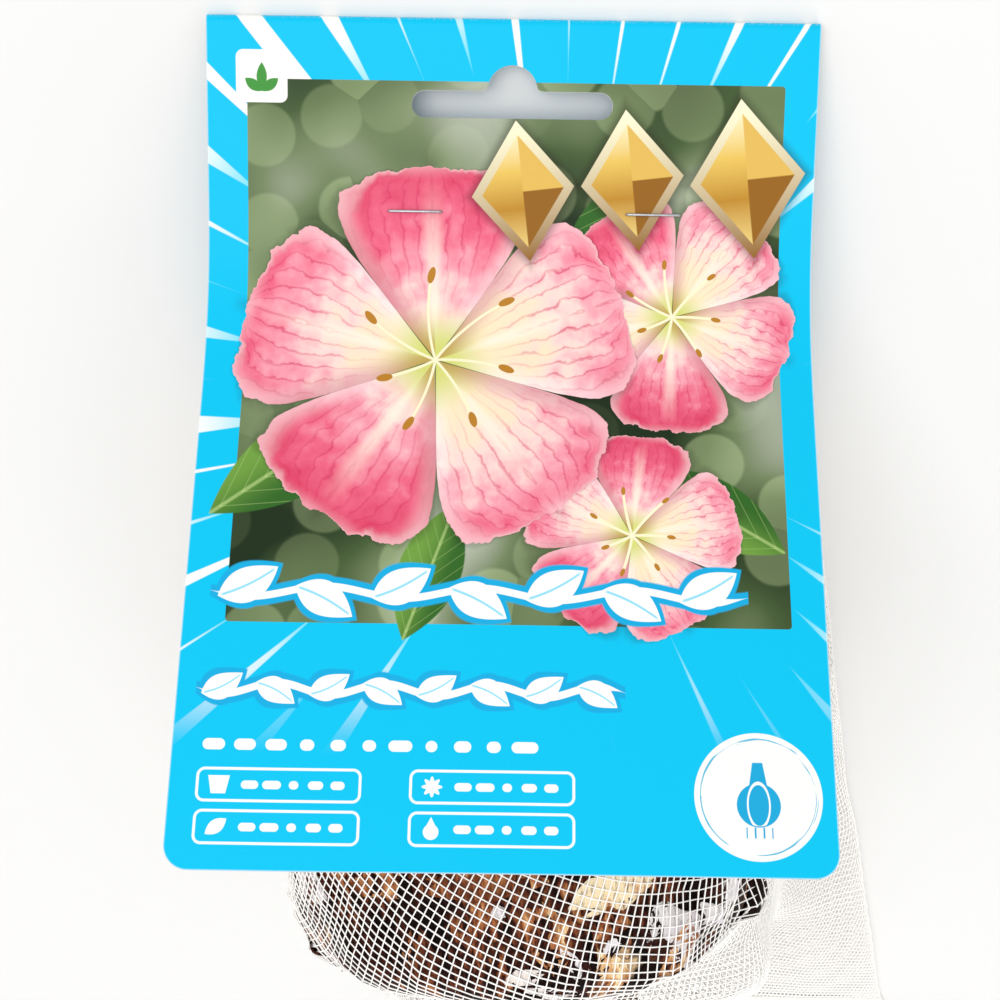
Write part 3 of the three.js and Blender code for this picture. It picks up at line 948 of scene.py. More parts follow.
# %% Two staples
STAPLE_WIRE, STAPLE_CLINCH = 0.5 * MM, 3.2 * MM

steel, flow = new_material("staple_steel")
drawn = object_place(flow).seen_from((0.0, 0.0), size=(6.0, 1.0)).noise(4000.0)
cloud = object_place(flow).noise(700.0)
tone = mix(cloud, ink(150, 153, 158), ink(208, 210, 214))
finish_material(flow, tone, drawn.times_plus(0.25, 0.2), height=drawn, depth=0.004 * MM, Metallic=1.0)


def under_card(across, down, out):
    """A place measured from the plane between the two panels."""
    along, side = heading(LIFT), lift_side
    run, rise = fold_centre + along * down + side * out
    return Vector((CARD_MIDDLE + across, FOLD_Y - run, rise))


for name in ("staple_left", "staple_right"):
    low, high = [Vector(corner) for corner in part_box(name)]
    middle = (low.x + high.x) / 2 - CARD_MIDDLE
    half = (high.x - low.x - STAPLE_WIRE) / 2
    level = HALF_GAP + BOARD / 2 + 0.1 * MM + STAPLE_WIRE / 2
    ends = level - 0.15 * MM
    path = [
        (-half + STAPLE_CLINCH, -ends), (-half, -level), (-half, level), (half, level), (half, -level),
        (half - STAPLE_CLINCH, -ends),
    ]
    line = [under_card(middle + x, STAPLE_FROM_FOLD, out) for x, out in path]
    wire = tubes([rounded(line, 0.55 * MM)], STAPLE_WIRE / 2 * 0.96, rings=3)
    piece = new_piece(name + "_wire", wire, steel, slot="staple_wire")
    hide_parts(name)

# %% [markdown]
# ## The bulb's shape
#
# An amaryllis bulb is a fat onion: a corky basal plate with the stumps of old roots, a round body
# wrapped in dry brown skins, and a neck cut off flat above. The outer skins are ribbed lengthwise,
# and they crack, lift and break away in flakes, which shows paler skin below. A sphere could be
# pulled into shape, but a profile spun about the bulb's axis gives the ribs and skins a clean
# direction to follow. Relief is added to the spun mesh point by point, because modifiers can't tell
# the way round a bulb from the way along it.

# %% Where the bulb lies
BULB_BASE = Vector((-11.2, -44.9, 49.04)) * MM  # middle of the basal plate
BULB_TILT, BULB_TURN = math.radians(20), math.radians(3.8)
BULB_FLATNESS = 0.9
BULB_PROFILE = [  # radius and distance along the axis, in millimetres
    (0, -2), (7, -2.4), (12, -1.6), (15, -0.3), (20, -0.6), (27, -0.4), (34.6, 1.2), (39.6, 5.4), (42, 12),
    (42.8, 21), (42.6, 28), (41, 38), (36.6, 48), (31, 56.5), (24.5, 64.5), (19, 72.5), (15.8, 80),
    (14.4, 88), (13.6, 94.5), (12.6, 96), (9, 95), (5.5, 95.8), (0, 94.6),
]

level, down = math.cos(BULB_TILT), -math.sin(BULB_TILT)
bulb_axis = Vector((-math.sin(BULB_TURN) * level, math.cos(BULB_TURN) * level, down))
bulb_turn = Vector((0, 1, 0)).rotation_difference(bulb_axis).to_matrix().to_4x4()
bulb_place = Matrix.Translation(BULB_BASE) @ bulb_turn @ Matrix.Diagonal((1, 1, BULB_FLATNESS, 1))

profile_line = catmull_rom([Vector((r, a, 0)) * MM for r, a in BULB_PROFILE], 12)
profile_run = distances(profile_line)
PROFILE_STEPS, BULB_SIDES = 210, 300
RIB_ROUND = 12 * MM  # the skins' patterns wind round a core of this radius
SKIN_SUNK, TORN_DEPTH = 0.3 * MM, 0.35 * MM  # how far the relief lies below the outline
SLIM_TURN, SLIM_RUN = 1.3, 47 * MM  # the middle of the shoulder that is slimmer than the rest


def on_profile(run):
    """Radius and distance along the axis at a distance along the bulb's outline."""
    return [float(np.interp(run, profile_run, [p[i] for p in profile_line])) for i in (0, 1)]


def outline_run(along):
    """The distance along the outline at which the bulb's side is this far from its base."""
    sides = [(p.y, run) for p, run in zip(profile_line, profile_run) if p.x > 13 * MM]
    return float(np.interp(along, *zip(*sides)))

# %% Relief of the skins
def wrapped(angle, run):
    """The coordinates that the skins' patterns follow: round a slim core, and along the outline."""
    return Vector((RIB_ROUND * math.sin(angle), run, RIB_ROUND * math.cos(angle)))


def ribs(angle, run):
    """Relief of the dry skins, in metres: lumps, lengthwise ribs and fine fibres."""
    place = wrapped(angle, run)
    lumps = noise.noise(place / (11 * MM))
    stretched = Vector((place.x, place.y * 0.12, place.z))
    rib = 1 - abs(noise.noise(stretched / (2.6 * MM))) * 2
    fibre = noise.noise(stretched / (0.8 * MM))
    slim = math.exp(-(((angle - SLIM_TURN) / 0.6) ** 2) - ((run - SLIM_RUN) / (17 * MM)) ** 2)
    return (0.55 * lumps + 0.34 * rib + 0.10 * fibre - 4.0 * slim) * MM


def torn(angle, run):
    """1 where the outer skin has broken away, 0 where it is whole, with a narrow edge between."""
    place = wrapped(angle, run)
    drawn_out = Vector((place.x, place.y * 0.22, place.z)) / (4.2 * MM)
    field = noise.noise(drawn_out) + 0.35 * noise.noise(drawn_out * 3.1)
    field += 0.18 * noise.noise(drawn_out * 8.0)
    return float(np.clip((field - 0.34) / 0.05, 0, 1))

# %% Spin the body and give it relief
body = bmesh.new()
skin_run = body.verts.layers.float.new("skin_run")  # the spin hands this on to every copy
chain = []
for run in np.linspace(0, profile_run[-1], PROFILE_STEPS):
    chain.append(body.verts.new((*on_profile(run), 0)))
    chain[-1][skin_run] = run
edges = [body.edges.new(pair) for pair in zip(chain, chain[1:])]
bmesh.ops.spin(
    body, geom=chain + edges, cent=(0, 0, 0), axis=(0, 1, 0), angle=2 * math.pi, steps=BULB_SIDES,
    use_merge=True,
)
bmesh.ops.remove_doubles(body, verts=body.verts, dist=1e-6)
bmesh.ops.recalc_face_normals(body, faces=body.faces)
body.normal_update()

skin_place = body.verts.layers.float_vector.new("skin_place")
skin_torn = body.verts.layers.float.new("skin_torn")
moves = []
for vert in body.verts:
    radius = math.hypot(vert.co.x, vert.co.z)
    angle = math.atan2(vert.co.x, vert.co.z)
    run = vert[skin_run]
    side = float(np.clip((radius - 13 * MM) / (4 * MM), 0, 1))
    gone = torn(angle, run) * side
    vert[skin_place] = wrapped(angle, run)
    vert[skin_torn] = gone
    relief = ribs(angle, run) * (0.4 + 0.6 * side) - TORN_DEPTH * gone - SKIN_SUNK
    moves.append(vert.normal * relief)
for vert, move in zip(body.verts, moves):
    vert.co += move
body.transform(bulb_place)
body.normal_update()

# %% [markdown]
# ## The bulb's skins
#
# Close up, the outer skin is not one brown. It is a dark, wine-coloured parchment with lengthwise
# fibres, rubbed to tan along its ribs, and cream where it is gone. The material follows the
# coordinates that were stored on the mesh, which run round and along the bulb, so that its streaks
# run from the base to the neck. Thin dark lines along the streaks are painted shade in cracks, and
# the fibres are darkest in their hollows, partly from their own tone and partly from painted shade.
# The same colours serve the loose flakes, which carry a tone of their own.

# %% Skin material
SKIN_TONES = [
    (0.00, ink(6, 2, 2)), (0.25, ink(26, 9, 7)), (0.42, ink(66, 29, 19)), (0.58, ink(120, 66, 40)),
    (0.74, ink(174, 112, 70)), (0.90, ink(218, 172, 120)), (1.00, ink(246, 226, 184)),
]


def skin_material(name, loose):
    material, flow = new_material(name)
    place = stored(flow, "skin_place", "Vector")
    drawn_out = place.vector("MULTIPLY", (1.0, 0.09, 1.0))
    fibre = drawn_out.noise(4200.0, detail=3.0, roughness=0.6)
    streak = drawn_out.noise(1100.0, detail=2.0)
    patch = place.vector("MULTIPLY", (1.0, 0.4, 1.0)).noise(150.0, detail=3.0, distortion=0.6)
    mottle = patch.times_plus(1.1, streak.times_plus(1.5, fibre * 1.5)) - 1.75
    if loose:
        tone = stored(flow, "skin_tone")
        level = tone + mottle * 0.6
    else:
        level = mottle.times_plus(1.0, 0.02)
    colour = level.toned(SKIN_TONES)
    if loose:
        bleached = stored(flow, "skin_bleached")
        papery = mix(streak, ink(244, 241, 242), ink(214, 207, 210))
        colour = mix(bleached, colour, papery)
    else:
        gone = stored(flow, "skin_torn")
        flesh = mix(streak.times_plus(0.7, fibre * 0.4), ink(238, 220, 178), ink(190, 140, 96))
        rust = mix(patch.step(0.5, 0.66), flesh, ink(158, 88, 56))
        colour = mix(gone, colour, rust)
        rim = abs(gone - 0.5).step(0.5, 0.1)
        colour = mix(rim * 0.55, colour, ink(40, 22, 18))
    # Painted shade: thin dark lines stand for the shade in cracks between the streaks. The fibres also
    # darken in the hollows of the bump, partly from their own dark tone and partly from painted shade.
    crack_shade = abs(streak - 0.5).step(0.035, 0.0) * fibre.step(0.35, 0.6)
    dark = crack_shade.most(fibre.step(0.45, 0.3)) * (0.5 if loose else 0.85)
    colour = mix(dark, colour, ink(14, 7, 6))
    height = fibre.times_plus(0.5, streak)
    finish_material(flow, colour, streak.times_plus(0.35, 0.42), 0.06, height, depth=0.5 * MM)
    return material


parchment = skin_material("bulb_skin", loose=False)
flake_parchment = skin_material("loose_bulb_skin", loose=True)

# %% [markdown]
# ## Loose flakes and dry roots
#
# Broken skins stand off the body as thin curled flakes, some brown, some bleached almost white. Each
# one is a small grid that is laid on the spun body at a direction and a distance along it, made
# ragged at its edges, and lifted at its rim. Nineteen have chosen places, near the base where the
# skins break first, and the others are strewn by a seeded generator. The dry roots are tubes that
# thin out and curl, as they do when a bulb is lifted and dried.

# %% Laying things on the body
def on_bulb(angle, run, lift=0.0):
    """A place on the bulb's side, lifted off its surface."""
    step = 0.5 * MM
    (r0, a0), (r1, a1), (r2, a2) = [on_profile(run + d) for d in (0, -step, step)]
    along = Vector((r2 - r1, a2 - a1)).normalized()
    out = Vector((along.y, -along.x)) * (lift - SKIN_SUNK)
    radius, height = r0 + out.x, a0 + out.y
    local = Vector((radius * math.sin(angle), height, radius * math.cos(angle)))
    return bulb_place @ local


def skin_layers(mesh):
    """The three values of each point that the skin's material reads."""
    place = mesh.verts.layers.float_vector.new("skin_place")
    return place, *[mesh.verts.layers.float.new(name) for name in ("skin_tone", "skin_bleached")]


FLAKE_CELLS = (9, 15)  # round the bulb and along it


def flake(mesh, layers, angle, run, width, length, lean, curl, tone, bleached, seed):
    """One torn piece of skin: width round the bulb and length along it, in metres."""
    across, down = FLAKE_CELLS
    grid = bmesh.new()
    bmesh.ops.create_grid(grid, x_segments=across, y_segments=down, size=1.0)
    radius = max(on_profile(run)[0], 12 * MM)
    rim_noise = np.random.default_rng(seed)
    corners = np.linspace(-1, 1, 6)
    rims = [
        [np.interp(np.linspace(-1, 1, cells + 1), corners, rim_noise.normal(0, depth, 6)) for _ in range(2)]
        for cells, depth in ((down, 0.17), (across, 0.2))
    ]
    phase = rim_noise.uniform(0, 6)
    for vert in grid.verts:
        p, q = vert.co.x, vert.co.y
        row, column = round((q + 1) / 2 * down), round((p + 1) / 2 * across)
        narrow = 1 - 0.5 * abs(q) ** 2.5 + rims[0][p > 0][row]
        x = p * width / 2 * narrow
        y = q * length / 2 * (1 - 0.25 * p * p + rims[1][q > 0][column] * abs(q))
        x, y = x * math.cos(lean) - y * math.sin(lean), x * math.sin(lean) + y * math.cos(lean)
        rim = max(abs(p), abs(q))
        lift = 0.45 * MM + curl * rim**3 * (0.6 + 0.4 * math.sin(1.7 * phase + 2 * p - q))
        bow = 0.25 * MM * noise.noise(Vector((p * 2, q * 2, seed)))
        turn_here, run_here = angle + x / radius, run + y
        relief = max(ribs(turn_here, run_here), 0)
        new = mesh.verts.new(on_bulb(turn_here, run_here, lift + bow + relief))
        new[layers[0]] = wrapped(turn_here, run_here) + Vector((seed * 0.01, 0, 0))
        new[layers[1]], new[layers[2]] = tone, bleached
        vert.index = len(mesh.verts) - 1
    mesh.verts.ensure_lookup_table()
    for face in grid.faces:
        mesh.faces.new([mesh.verts[v.index] for v in face.verts])
    grid.free()

# %% All the flakes
CHOSEN_FLAKES = [  # angle round the bulb in degrees, distance from the base, width and length in mm,
    # lean in degrees, curl in mm, tone from dark to pale, and how bleached
    (-60, 18.5, 13, 8, 10, 1.0, 0.8, 1.0), (-40, 23, 18, 6, -6, 0.8, 0.45, 0.0),
    (-12, 24, 22, 6, 4, 0.8, 0.42, 0.0), (17, 21.5, 15, 7, 12, 0.8, 0.95, 0.1),
    (26.5, 15.5, 6, 3.5, 60, 1.2, 0.8, 1.0), (43, 13.5, 8, 4, -35, 1.3, 0.8, 1.0),
    (48, 16.5, 5, 6, 20, 1.2, 0.8, 1.0), (16, 12.5, 3, 2.5, 30, 1.0, 0.8, 1.0),
    (7, 10.5, 2.6, 6, 25, 1.2, 0.8, 1.0), (17, 8, 5, 9, 25, 0.9, 0.62, 0.0),
    (-7.5, 19.5, 2.4, 3, 40, 1.0, 0.8, 1.0), (-3, 8.5, 6, 3, 15, 1.3, 0.8, 0.8),
    (3.5, 5.5, 8, 2.6, -10, 1.4, 0.8, 0.9), (38, 4, 8, 3, 5, 1.3, 0.8, 0.9),
    (33, 9.5, 6, 10, -20, 1.0, 0.6, 0.0), (2, 15, 6, 13, 12, 0.9, 0.66, 0.0),
    (-86, 7, 15, 12, 10, 3.6, 0.3, 0.0), (-72, 2.5, 13, 8, -5, 3.6, 0.2, 0.0),
    (-100, 4, 12, 9, 15, 3.2, 0.4, 0.0),
]
STREWN_FLAKES = 120

flakes = bmesh.new()
flake_layers = skin_layers(flakes)
for i, (around, along, width, length, lean, curl, tone, bleached) in enumerate(CHOSEN_FLAKES):
    flake(
        flakes, flake_layers, math.radians(around), outline_run(along * MM), width * MM, length * MM,
        math.radians(lean), curl * MM, tone, bleached, i,
    )
strewn = np.random.default_rng(11)
for i in range(STREWN_FLAKES):
    around = strewn.uniform(0, 2 * math.pi)
    along = 92 * MM * strewn.beta(0.9, 1.5) + 1.5 * MM
    narrow = min(1.0, on_profile(outline_run(along))[0] / (40 * MM))
    width, length = strewn.uniform(3, 9) * MM * narrow, strewn.uniform(9, 28) * MM * (0.4 + 0.6 * narrow)
    tone = strewn.choice([0.05, 0.2, 0.35, 0.5, 0.7], p=[0.3, 0.3, 0.2, 0.13, 0.07])
    bleached = 0.9 if strewn.random() < 0.08 else 0.0
    flake(
        flakes, flake_layers, around, outline_run(along), width, length,
        strewn.normal(0, 0.3), strewn.uniform(0.3, 1.1) * MM, tone, bleached, 100 + i,
    )

# %% Dry roots
def root_line(number, wispy):
    """A root that starts under the basal plate, turns outwards and curls."""
    around = number * 2.4  # the golden angle spreads them evenly
    ring_radius = 3 + 8 * math.sqrt((number % THICK_ROOTS + 0.5) / THICK_ROOTS)
    length = (7 + (number * 5) % 7) * (0.75 if wispy else 1.0)
    sway = around + (0.7 if number % 2 else -0.6) * (1.6 if wispy else 1.0)
    bends = [
        (ring_radius, around, 1), (ring_radius, around, -3),
        (ring_radius + 0.35 * length, around, -3 - 0.55 * length),
        (ring_radius + 0.88 * length, sway, -2.5 - 0.78 * length),
    ]
    local = [(radius * math.cos(turn), along, radius * math.sin(turn)) for radius, turn, along in bends]
    return catmull_rom([bulb_place @ (Vector(place) * MM) for place in local], 9)


THICK_ROOTS, WISPY_ROOTS = 14, 16
roots = tubes(
    [root_line(i, False) for i in range(THICK_ROOTS)], 0.95 * MM, rings=3,
    thinning=lambda t: 1.0 - 0.68 * t**1.5 + 0.12 * math.sin(t * 31),
)
wisps = tubes([root_line(i + THICK_ROOTS, True) for i in range(WISPY_ROOTS)], 0.3 * MM)
wisps_mesh = bpy.data.meshes.new("wisps")
wisps.to_mesh(wisps_mesh)
roots.from_mesh(wisps_mesh)
bpy.data.meshes.remove(wisps_mesh)

cork, flow = new_material("dry_root")
place = object_place(flow)
scale = place.noise(800.0, detail=3.0)
cloud = place.noise(170.0)
tone = mix(scale.times_plus(0.6, cloud * 0.5), ink(62, 42, 30), ink(178, 144, 104))
finish_material(flow, tone, 0.85, 0.25, scale, 0.2 * MM)

bulb_body = new_piece("bulb_body", body, parchment, slot="bulb_tunic")
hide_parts("bulb")
bulb_flakes = new_piece("bulb_loose_skins", flakes, flake_parchment, slot="bulb_tunic")
bulb_roots = new_piece("bulb_dry_roots", roots, cork, slot="bulb_tunic")

# %% [markdown]
# ## The net bag's shape
#
# The bag is a tube of knitted net, open at the mouth between the panels and closed at its foot. It
# could be simulated as cloth, but a net is pulled tight: over the bulb it runs in the shortest way,
# and only its right side and its foot are slack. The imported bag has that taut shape, as a plain
# sheet. So the shape is read from it, by casting rays on it from outside, ring after ring from the
# mouth to the foot. The rings are then smoothed, kept outside the bulb and inside the card, and
# wrinkled where the net is slack.

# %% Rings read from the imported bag
RING_POINTS, RINGS = 240, 150
FLOOR_LINE = [  # where each ring meets the floor: a share of the way from mouth to foot, and y in mm
    (0, 85), (0.2, 44), (0.4, 12), (0.53, -8), (0.6, -17),
    (0.73, -30), (0.8, -45), (0.87, -66), (0.93, -88), (1, -105),
]
THREAD = 0.285 * MM
NET_GAP = 0.22 * MM  # from the middle of a thread to what it lies on
FOOT_HEIGHT, FOOT_RINGS = 0.7 * MM, 11
FAR_OUT = 120 * MM  # from here every ray starts outside the pack

plain_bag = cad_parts["net_bag"]
bag_points = np.array([v.co for v in plain_bag.data.vertices])
bag_tree = BVHTree.FromObject(plain_bag, bpy.context.evaluated_depsgraph_get())
bag_low, bag_high = bag_points.min(0), bag_points.max(0)


def even_points(points, count):
    """The same line with its points evenly spaced."""
    points = np.asarray(points)
    run = distances(points)
    return np.column_stack([np.interp(np.linspace(0, run[-1], count), run, column) for column in points.T])


def meets_bag(start, direction):
    return bag_tree.ray_cast(Vector(start), Vector(direction))[0]


def side_of_bag():
    """The bag's upper line in the plane through the bulb's middle, from mouth to foot."""
    places = np.arange(bag_high[1] - 0.4 * MM, bag_low[1] + 0.2 * MM, -0.25 * MM)
    hits = [meets_bag((BULB_BASE.x, y, FAR_OUT), (0, 0, -1)) for y in places]
    return even_points([hit for hit in hits if hit], RINGS)


def ring_at(top, tilt):
    """The bag's outline in a plane that runs straight across through a point of its upper line."""
    rise = Vector((0, -math.sin(tilt), math.cos(tilt)))
    swing = np.cos(np.linspace(math.pi, 0, 260))
    middle, half = (bag_low[0] + bag_high[0]) / 2, (bag_high[0] - bag_low[0]) / 2 - 0.05 * MM
    halves = []
    for way in (1, -1):
        starts = [Vector((middle + half * s, top[1], top[2])) + rise * FAR_OUT * way for s in swing]
        halves.append([hit for hit in (meets_bag(start, -rise * way) for start in starts) if hit])
    return even_points(halves[0] + halves[1][::-1] + halves[0][:1], RING_POINTS + 1)[:-1]


# the planes lean forward where the bag drops steeply in front of the bulb
upper_side = side_of_bag()
floor_line = np.interp(np.linspace(0, 1, RINGS), *zip(*FLOOR_LINE)) * MM
height = upper_side[:, 2] - MM
tilts = np.where(height < 4 * MM, 0, np.arctan2(floor_line - upper_side[:, 1], np.maximum(height, 1e-6)))
tilts = np.convolve(np.pad(np.clip(tilts, -0.3, 0.75), 6, mode="edge"), np.ones(13) / 13, "valid")
rings = np.array([ring_at(top, tilt) for top, tilt in zip(upper_side, tilts)])
print("rings of", [round(float(step_lengths(ring).sum() / MM)) for ring in rings[::25]], "mm")

# %% Keep things in their room
lean_normal = Vector((0, math.sin(LEAN), math.cos(LEAN)))
lean_point = on_card(0, card_distance[-1] - 0.2 * MM)


def in_room(points, gap):
    """The points moved off the front panel and off the surface below, by at least the gap."""
    points = np.array(points)
    over = (points - np.array(lean_point)) @ np.array(lean_normal) + BOARD / 2 + gap
    points -= np.maximum(over, 0)[:, None] * np.array(lean_normal)
    points[:, 2] = np.maximum(points[:, 2], BOARD + gap)
    return points


for piece in (bulb_body, bulb_flakes, bulb_roots):
    places = in_room([v.co for v in piece.data.vertices], 0.55 * MM)
    piece.data.vertices.foreach_set("co", places.ravel())
    piece.data.update()

# %% Places outside the bulb
graph = bpy.context.evaluated_depsgraph_get()
bulb_trees = [BVHTree.FromObject(piece, graph) for piece in (bulb_body, bulb_flakes, bulb_roots)]
core = [bulb_place @ Vector((0, along, 0)) for along in (22 * MM, 70 * MM)]


def from_core(point):
    """The nearest place on the bulb's core, and the direction and distance from it to the point."""
    along = core[1] - core[0]
    share = min(max((point - core[0]).dot(along) / along.length_squared, 0), 1)
    middle = core[0] + along * share
    return middle, (point - middle).normalized(), (point - middle).length


def outer_hit(tree, middle, out):
    """The outermost place where the way out from the core meets a surface."""
    return tree.ray_cast(middle + out * FAR_OUT, -out, FAR_OUT)[0]


def outside_bulb(point):
    """The point, moved out from the bulb's core until it clears the skins and the roots."""
    middle, out, reach = from_core(Vector(point))
    for tree in bulb_trees:
        hit = outer_hit(tree, middle, out)
        if hit:
            reach = max(reach, (hit - middle).length + NET_GAP)
    return middle + out * reach

# %% Smooth the rings
def relaxed(grid, rounds):
    """Each point drawn towards the middle of its neighbours; the mouth and the foot stay."""
    for _ in range(rounds):
        beside = (np.roll(grid, 1, axis=1) + np.roll(grid, -1, axis=1)) / 2
        middle = (beside[1:-1] + (grid[:-2] + grid[2:]) / 2) / 2
        grid = np.concatenate([grid[:1], grid[1:-1] * 0.4 + middle * 0.6, grid[-1:]])
    return grid


def cleared(grid):
    points = np.array([outside_bulb(p) for p in grid.reshape(-1, 3)])
    return in_room(points, NET_GAP).reshape(grid.shape)


def drawn_in(grid, near=14 * MM, strength=0.7):
    """The net pulled towards the bulb, where it is nearer than near."""
    points = []
    for point in grid.reshape(-1, 3):
        middle, out, reach = from_core(Vector(point))
        hit = outer_hit(bulb_trees[0], middle, out)
        gap = reach - (hit - middle).length if hit else near
        pull = strength * gap * (1 - gap / near) if 0 < gap < near else 0.0
        points.append(middle + out * (reach - pull))
    return np.array(points).reshape(grid.shape)


net_shape = cleared(relaxed(rings, 6))
for _ in range(2):
    net_shape = cleared(relaxed(drawn_in(net_shape), 7))
net_shape = relaxed(net_shape, 1)

# %% Wrinkle the slack net
WRINKLE = 1.2 * MM
SLACK_FROM, SLACK_OVER = 3 * MM, 12 * MM  # distance from the bulb where the net goes slack


def wrinkled(grid):
    """Shallow folds where the net is slack: far from the bulb, and running down the bag."""
    result = grid.copy()
    for i, k in np.ndindex(grid.shape[:2]):
        place = Vector(grid[i, k])
        apart = bulb_trees[0].find_nearest(place)[3]
        slack = float(np.clip((apart - SLACK_FROM) / SLACK_OVER, 0, 1))
        past_card = float(np.clip((lean_point.y - place.y) / (10 * MM), 0, 1))
        below = k > RING_POINTS / 2
        fold = noise.noise(Vector((place.x / (9 * MM), place.y / (45 * MM), 3.0 + below)))
        result[i, k, 2] += slack * past_card * (fold + 0.3) * WRINKLE
    flat = result.reshape(-1, 3)
    flat[:, 2] = np.maximum(flat[:, 2], NET_GAP)
    return result


net_shape = wrinkled(net_shape)
for i in range(FOOT_RINGS):  # the foot is pressed flat by its seal
    heights = net_shape[RINGS - FOOT_RINGS + i, :, 2]
    heights += (FOOT_HEIGHT - heights) * 0.85 * min((i + 1) / 9, 1)
print("the foot lies between", (heights.min() / MM).round(2), "and", (heights.max() / MM).round(2), "mm")

# %% Press the loose skins under the net
UNDER_NET = 0.35 * MM  # how far the skins stay below the net
SKIN_THICKNESS = 0.12 * MM

starts = np.arange(0, (RINGS - 1) * RING_POINTS, RING_POINTS)
nexts = [(k, (k + 1) % RING_POINTS) for k in range(RING_POINTS)]
around = [(k, after, RING_POINTS + after, RING_POINTS + k) for k, after in nexts]
net_faces = [tuple(int(start + k) for k in corners) for start in starts for corners in around]
net_tree = BVHTree.FromPolygons([Vector(p) for p in net_shape.reshape(-1, 3)], net_faces)

for piece in (bulb_flakes, bulb_roots):
    pressed = 0
    for vert in piece.data.vertices:
        middle, out, reach = from_core(vert.co)
        hit = net_tree.ray_cast(middle, out)[0]
        if hit and (hit - middle).length - UNDER_NET < reach:
            vert.co = middle + out * ((hit - middle).length - UNDER_NET)
            pressed += 1
    piece.data.update()
    print(piece.name, "pressed in by the net:", pressed, "points")


def thicken(piece):
    """Turns single faces into a thin shell that grows inwards, with crisp rims."""
    sides = Counter(key for face in piece.data.polygons for key in face.edge_keys)
    for edge in piece.data.edges:
        edge.use_edge_sharp = edge.use_edge_sharp or sides[edge.key] == 1
    shell = piece.modifiers.new("skin thickness", "SOLIDIFY")
    shell.thickness, shell.offset = SKIN_THICKNESS, -1.0
    print(piece.name, "is a shell of", SKIN_THICKNESS / MM, "mm")


thicken(bulb_flakes)

# %% [markdown]
# ## Threads of the net
#
# The net is knitted of fine white thread: lengthwise rows of stitches, and courses that run round
# the bag, in cells of about 1.3 by 1.7 millimetres. A see-through texture on a sheet would look
# right from one distance only, so each thread is a real tube with three sides. The rows lean and
# the courses swing down towards the right, because the bag is twisted and pulled to one side.

# %% Thread helper
def threads(lines, radius):
    """Fine threads with three sides."""
    section = curve_along([[(radius * math.cos(a), radius * math.sin(a), 0) for a in (0.0, 2.1, 4.2)]])
    section.data.dimensions = "2D"
    section.data.splines[0].use_cyclic_u = True
    holder = curve_along(lines)
    holder.data.bevel_mode = "OBJECT"
    holder.data.bevel_object = section
    mesh = made_mesh(holder)
    bmesh.ops.reverse_faces(mesh, faces=mesh.faces)  # a section runs round its curve the wrong way
    bpy.data.objects.remove(section)
    return mesh

# %% Threads
BAG_LENGTH = 0.24  # when the bag lies flat
ROWS, COURSES = 264, 153
TWIST = 0.37  # turns that a row makes round the bag from mouth to foot
SWING = 0.145  # how far a course swings down, in lengths of the bag
SWING_ROUND = 0.9  # the share of a turn over which it swings


def on_net(around, along):
    """The places of points of the net: turns round the bag, and lengths from mouth to foot."""
    u = (around % 1.0) * RING_POINTS
    v = np.clip(along, 0, 1) * (RINGS - 1)
    i, k = np.minimum(v.astype(int), RINGS - 2), u.astype(int) % RING_POINTS
    s, t = (v - i)[:, None], (u - np.floor(u))[:, None]
    after = (k + 1) % RING_POINTS
    near = net_shape[i, k] * (1 - t) + net_shape[i, after] * t
    far = net_shape[i + 1, k] * (1 - t) + net_shape[i + 1, after] * t
    return near * (1 - s) + far * s


def knitted(row, course):
    """Where a crossing of a row and a course lies."""
    along = course / COURSES
    around = row / ROWS - TWIST * (along - 0.5)
    loose = 4 * along * (1 - along)
    swing = np.sin(np.pi * np.clip((around % 1.0) / SWING_ROUND, 0, 1)) ** 2
    return on_net(around, along + SWING * swing * loose)


down, across = np.arange(0, COURSES + 1, 3.0), np.arange(0, ROWS + 1, 3.0)
lines = [knitted(np.full(len(down), row), down) for row in range(ROWS)]
lines += [knitted(across, np.full(len(across), course)) for course in range(1, COURSES)]
runs = [float(step_lengths(line).sum()) for line in lines]
print("round the bag:", [round(run / MM) for run in runs[ROWS::20]], "mm")
print("lengthwise:", round(min(runs[:ROWS]) / MM), "to", round(max(runs[:ROWS]) / MM), "mm")
print("threads:", len(lines), "of", round(sum(runs), 1), "m")

glowing_nylon, flow = new_material("net_thread")
cloud = object_place(flow).noise(2500.0)
tone = mix(cloud, ink(250, 247, 243), ink(255, 254, 252))
# The threads also glow faintly in their own colour. This is painted light, standing in for the light that
# thin nylon scatters through itself.
finish_material(flow, tone, cloud.times_plus(0.2, 0.38), Emission_Color=tone, Emission_Strength=0.14)

net_bag = new_piece("net_bag_threads", threads(lines, THREAD / 2), glowing_nylon, smooth_angle=180, slot="net")
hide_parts("net_bag")

# %% [markdown]
# ## The sealed foot, and what has fallen into it
#
# The foot of such a bag is closed with a hot bar, which melts both layers of net into one flat strip
# and presses its ribs into it. Two loops of the net's own shape are bridged and capped, so the strip
# goes where the bag goes. The crumbs of skin that rub off a dry bulb gather in the foot. They are
# small bent discs, and each is dropped only where the bag has room for it.

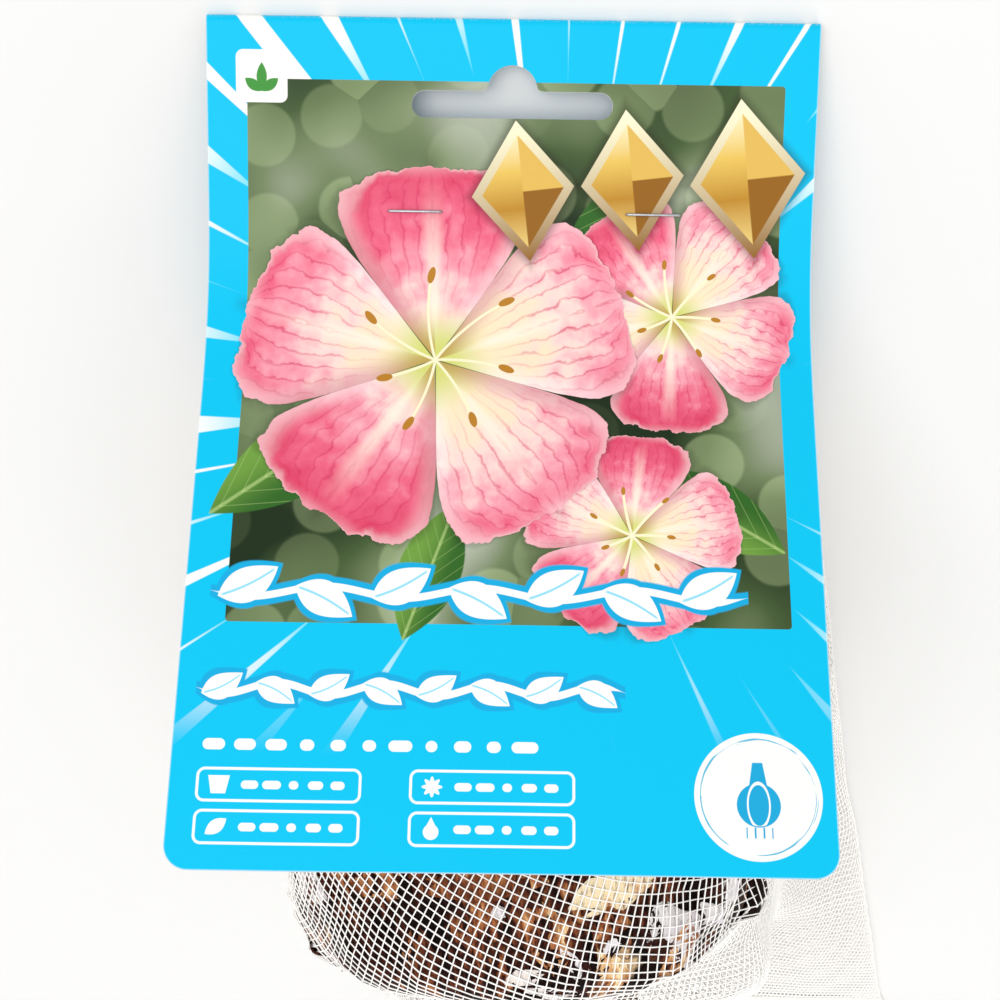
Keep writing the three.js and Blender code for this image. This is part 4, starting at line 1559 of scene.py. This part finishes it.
# %% Sealed strip
SEAL_WIDTH, SEAL_RISE = 2.5 * MM, 0.2 * MM
turns = np.linspace(0, 1, RING_POINTS, endpoint=False)
seal = bmesh.new()
loops = []
for along in (1 - SEAL_WIDTH / BAG_LENGTH, 1.0):
    places = on_net(turns, np.full(RING_POINTS, along))
    middle = places[:, 2].mean()
    places[:, 2] += np.where(places[:, 2] > middle, SEAL_RISE, -SEAL_RISE)
    places[:, 2] = np.maximum(places[:, 2], 0.05 * MM)
    points = [seal.verts.new(place) for place in places]
    loops.append([seal.edges.new(pair) for pair in zip(points, points[1:] + points[:1])])
bmesh.ops.bridge_loops(seal, edges=loops[0] + loops[1])
bmesh.ops.holes_fill(seal, edges=seal.edges, sides=0)
bmesh.ops.triangulate(seal, faces=[face for face in seal.faces if len(face.verts) > 4])
bmesh.ops.recalc_face_normals(seal, faces=seal.faces)

melted, flow = new_material("melted_net")
x = object_place(flow).parts()[0]
ribs_pressed = (x * (2 * math.pi / (1.3 * MM))).maths("SINE")
cloud = object_place(flow).noise(900.0)
tone = mix(cloud, ink(238, 236, 231), ink(252, 251, 248))
finish_material(flow, tone, cloud.times_plus(0.25, 0.3), height=ribs_pressed, depth=0.05 * MM)
net_seal = new_piece("net_bag_seal", seal, melted, slot="net")

# %% Crumbs of skin in the foot of the bag
CRUMB_TRIES, CRUMB_LIFT = 75, 0.75 * MM
ROOM_IN_BAG, ROOM_UNDER_BULB = 4 * MM, 3 * MM
crumbs = bmesh.new()
crumb_layers = skin_layers(crumbs)
fallen = np.random.default_rng(5)
for i in range(CRUMB_TRIES):
    x, y = fallen.normal(0, 22) * MM, (-50 - abs(fallen.normal(0, 17))) * MM
    size, tone = fallen.lognormal(0.35, 0.5) * MM, fallen.uniform(0.1, 0.75)
    bleached = fallen.random() < 0.12
    shape = fallen.uniform(0.45, 1.2, 9)
    turn = Matrix.Rotation(fallen.uniform(0, 6.3), 4, "Z") @ Matrix.Rotation(fallen.normal(0, 0.12), 4, "X")
    above = net_tree.ray_cast((x, y, FAR_OUT), (0, 0, -1))[0]
    from_below = [tree.ray_cast((x, y, -FAR_OUT), (0, 0, 1)) for tree in (net_tree, bulb_trees[0])]
    below, body_above = [hit[0] for hit in from_below]
    if not above or above.z - below.z < ROOM_IN_BAG:
        continue
    if body_above and body_above.z - below.z < ROOM_UNDER_BULB:
        continue
    middle = Vector((x, y, below.z + CRUMB_LIFT))
    made = bmesh.ops.create_circle(
        crumbs, cap_ends=True, cap_tris=True, segments=8, radius=size,
        matrix=Matrix.Translation(middle) @ turn @ Matrix.Diagonal((1, 0.6, 1, 1)),
    )
    for vert, reach in zip(made["verts"], shape):
        vert.co = middle + (vert.co - middle) * reach
        vert.co.z += 0.1 * (vert.co - middle).length_squared / size
        vert[crumb_layers[0]] = wrapped(i * 0.7, 20 * MM) + (vert.co - middle)
        vert[crumb_layers[1]], vert[crumb_layers[2]] = tone, float(bleached)
print("crumbs:", len(crumbs.faces) // 8)
thicken(new_piece("bulb_skin_crumbs", crumbs, flake_parchment, slot="bulb_tunic"))

# %% [markdown]
# ## Finish
#
# The last cell writes down two boxes: the imported model's, and that of everything that was made here.
# They should hardly differ.

# %% Sizes
sizes = {"cad": [list(corner) for corner in cad_box], "visual": [list(corner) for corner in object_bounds()]}
for name, box in sizes.items():
    print(name, "box in mm:", [[round(place / MM, 1) for place in corner] for corner in box])
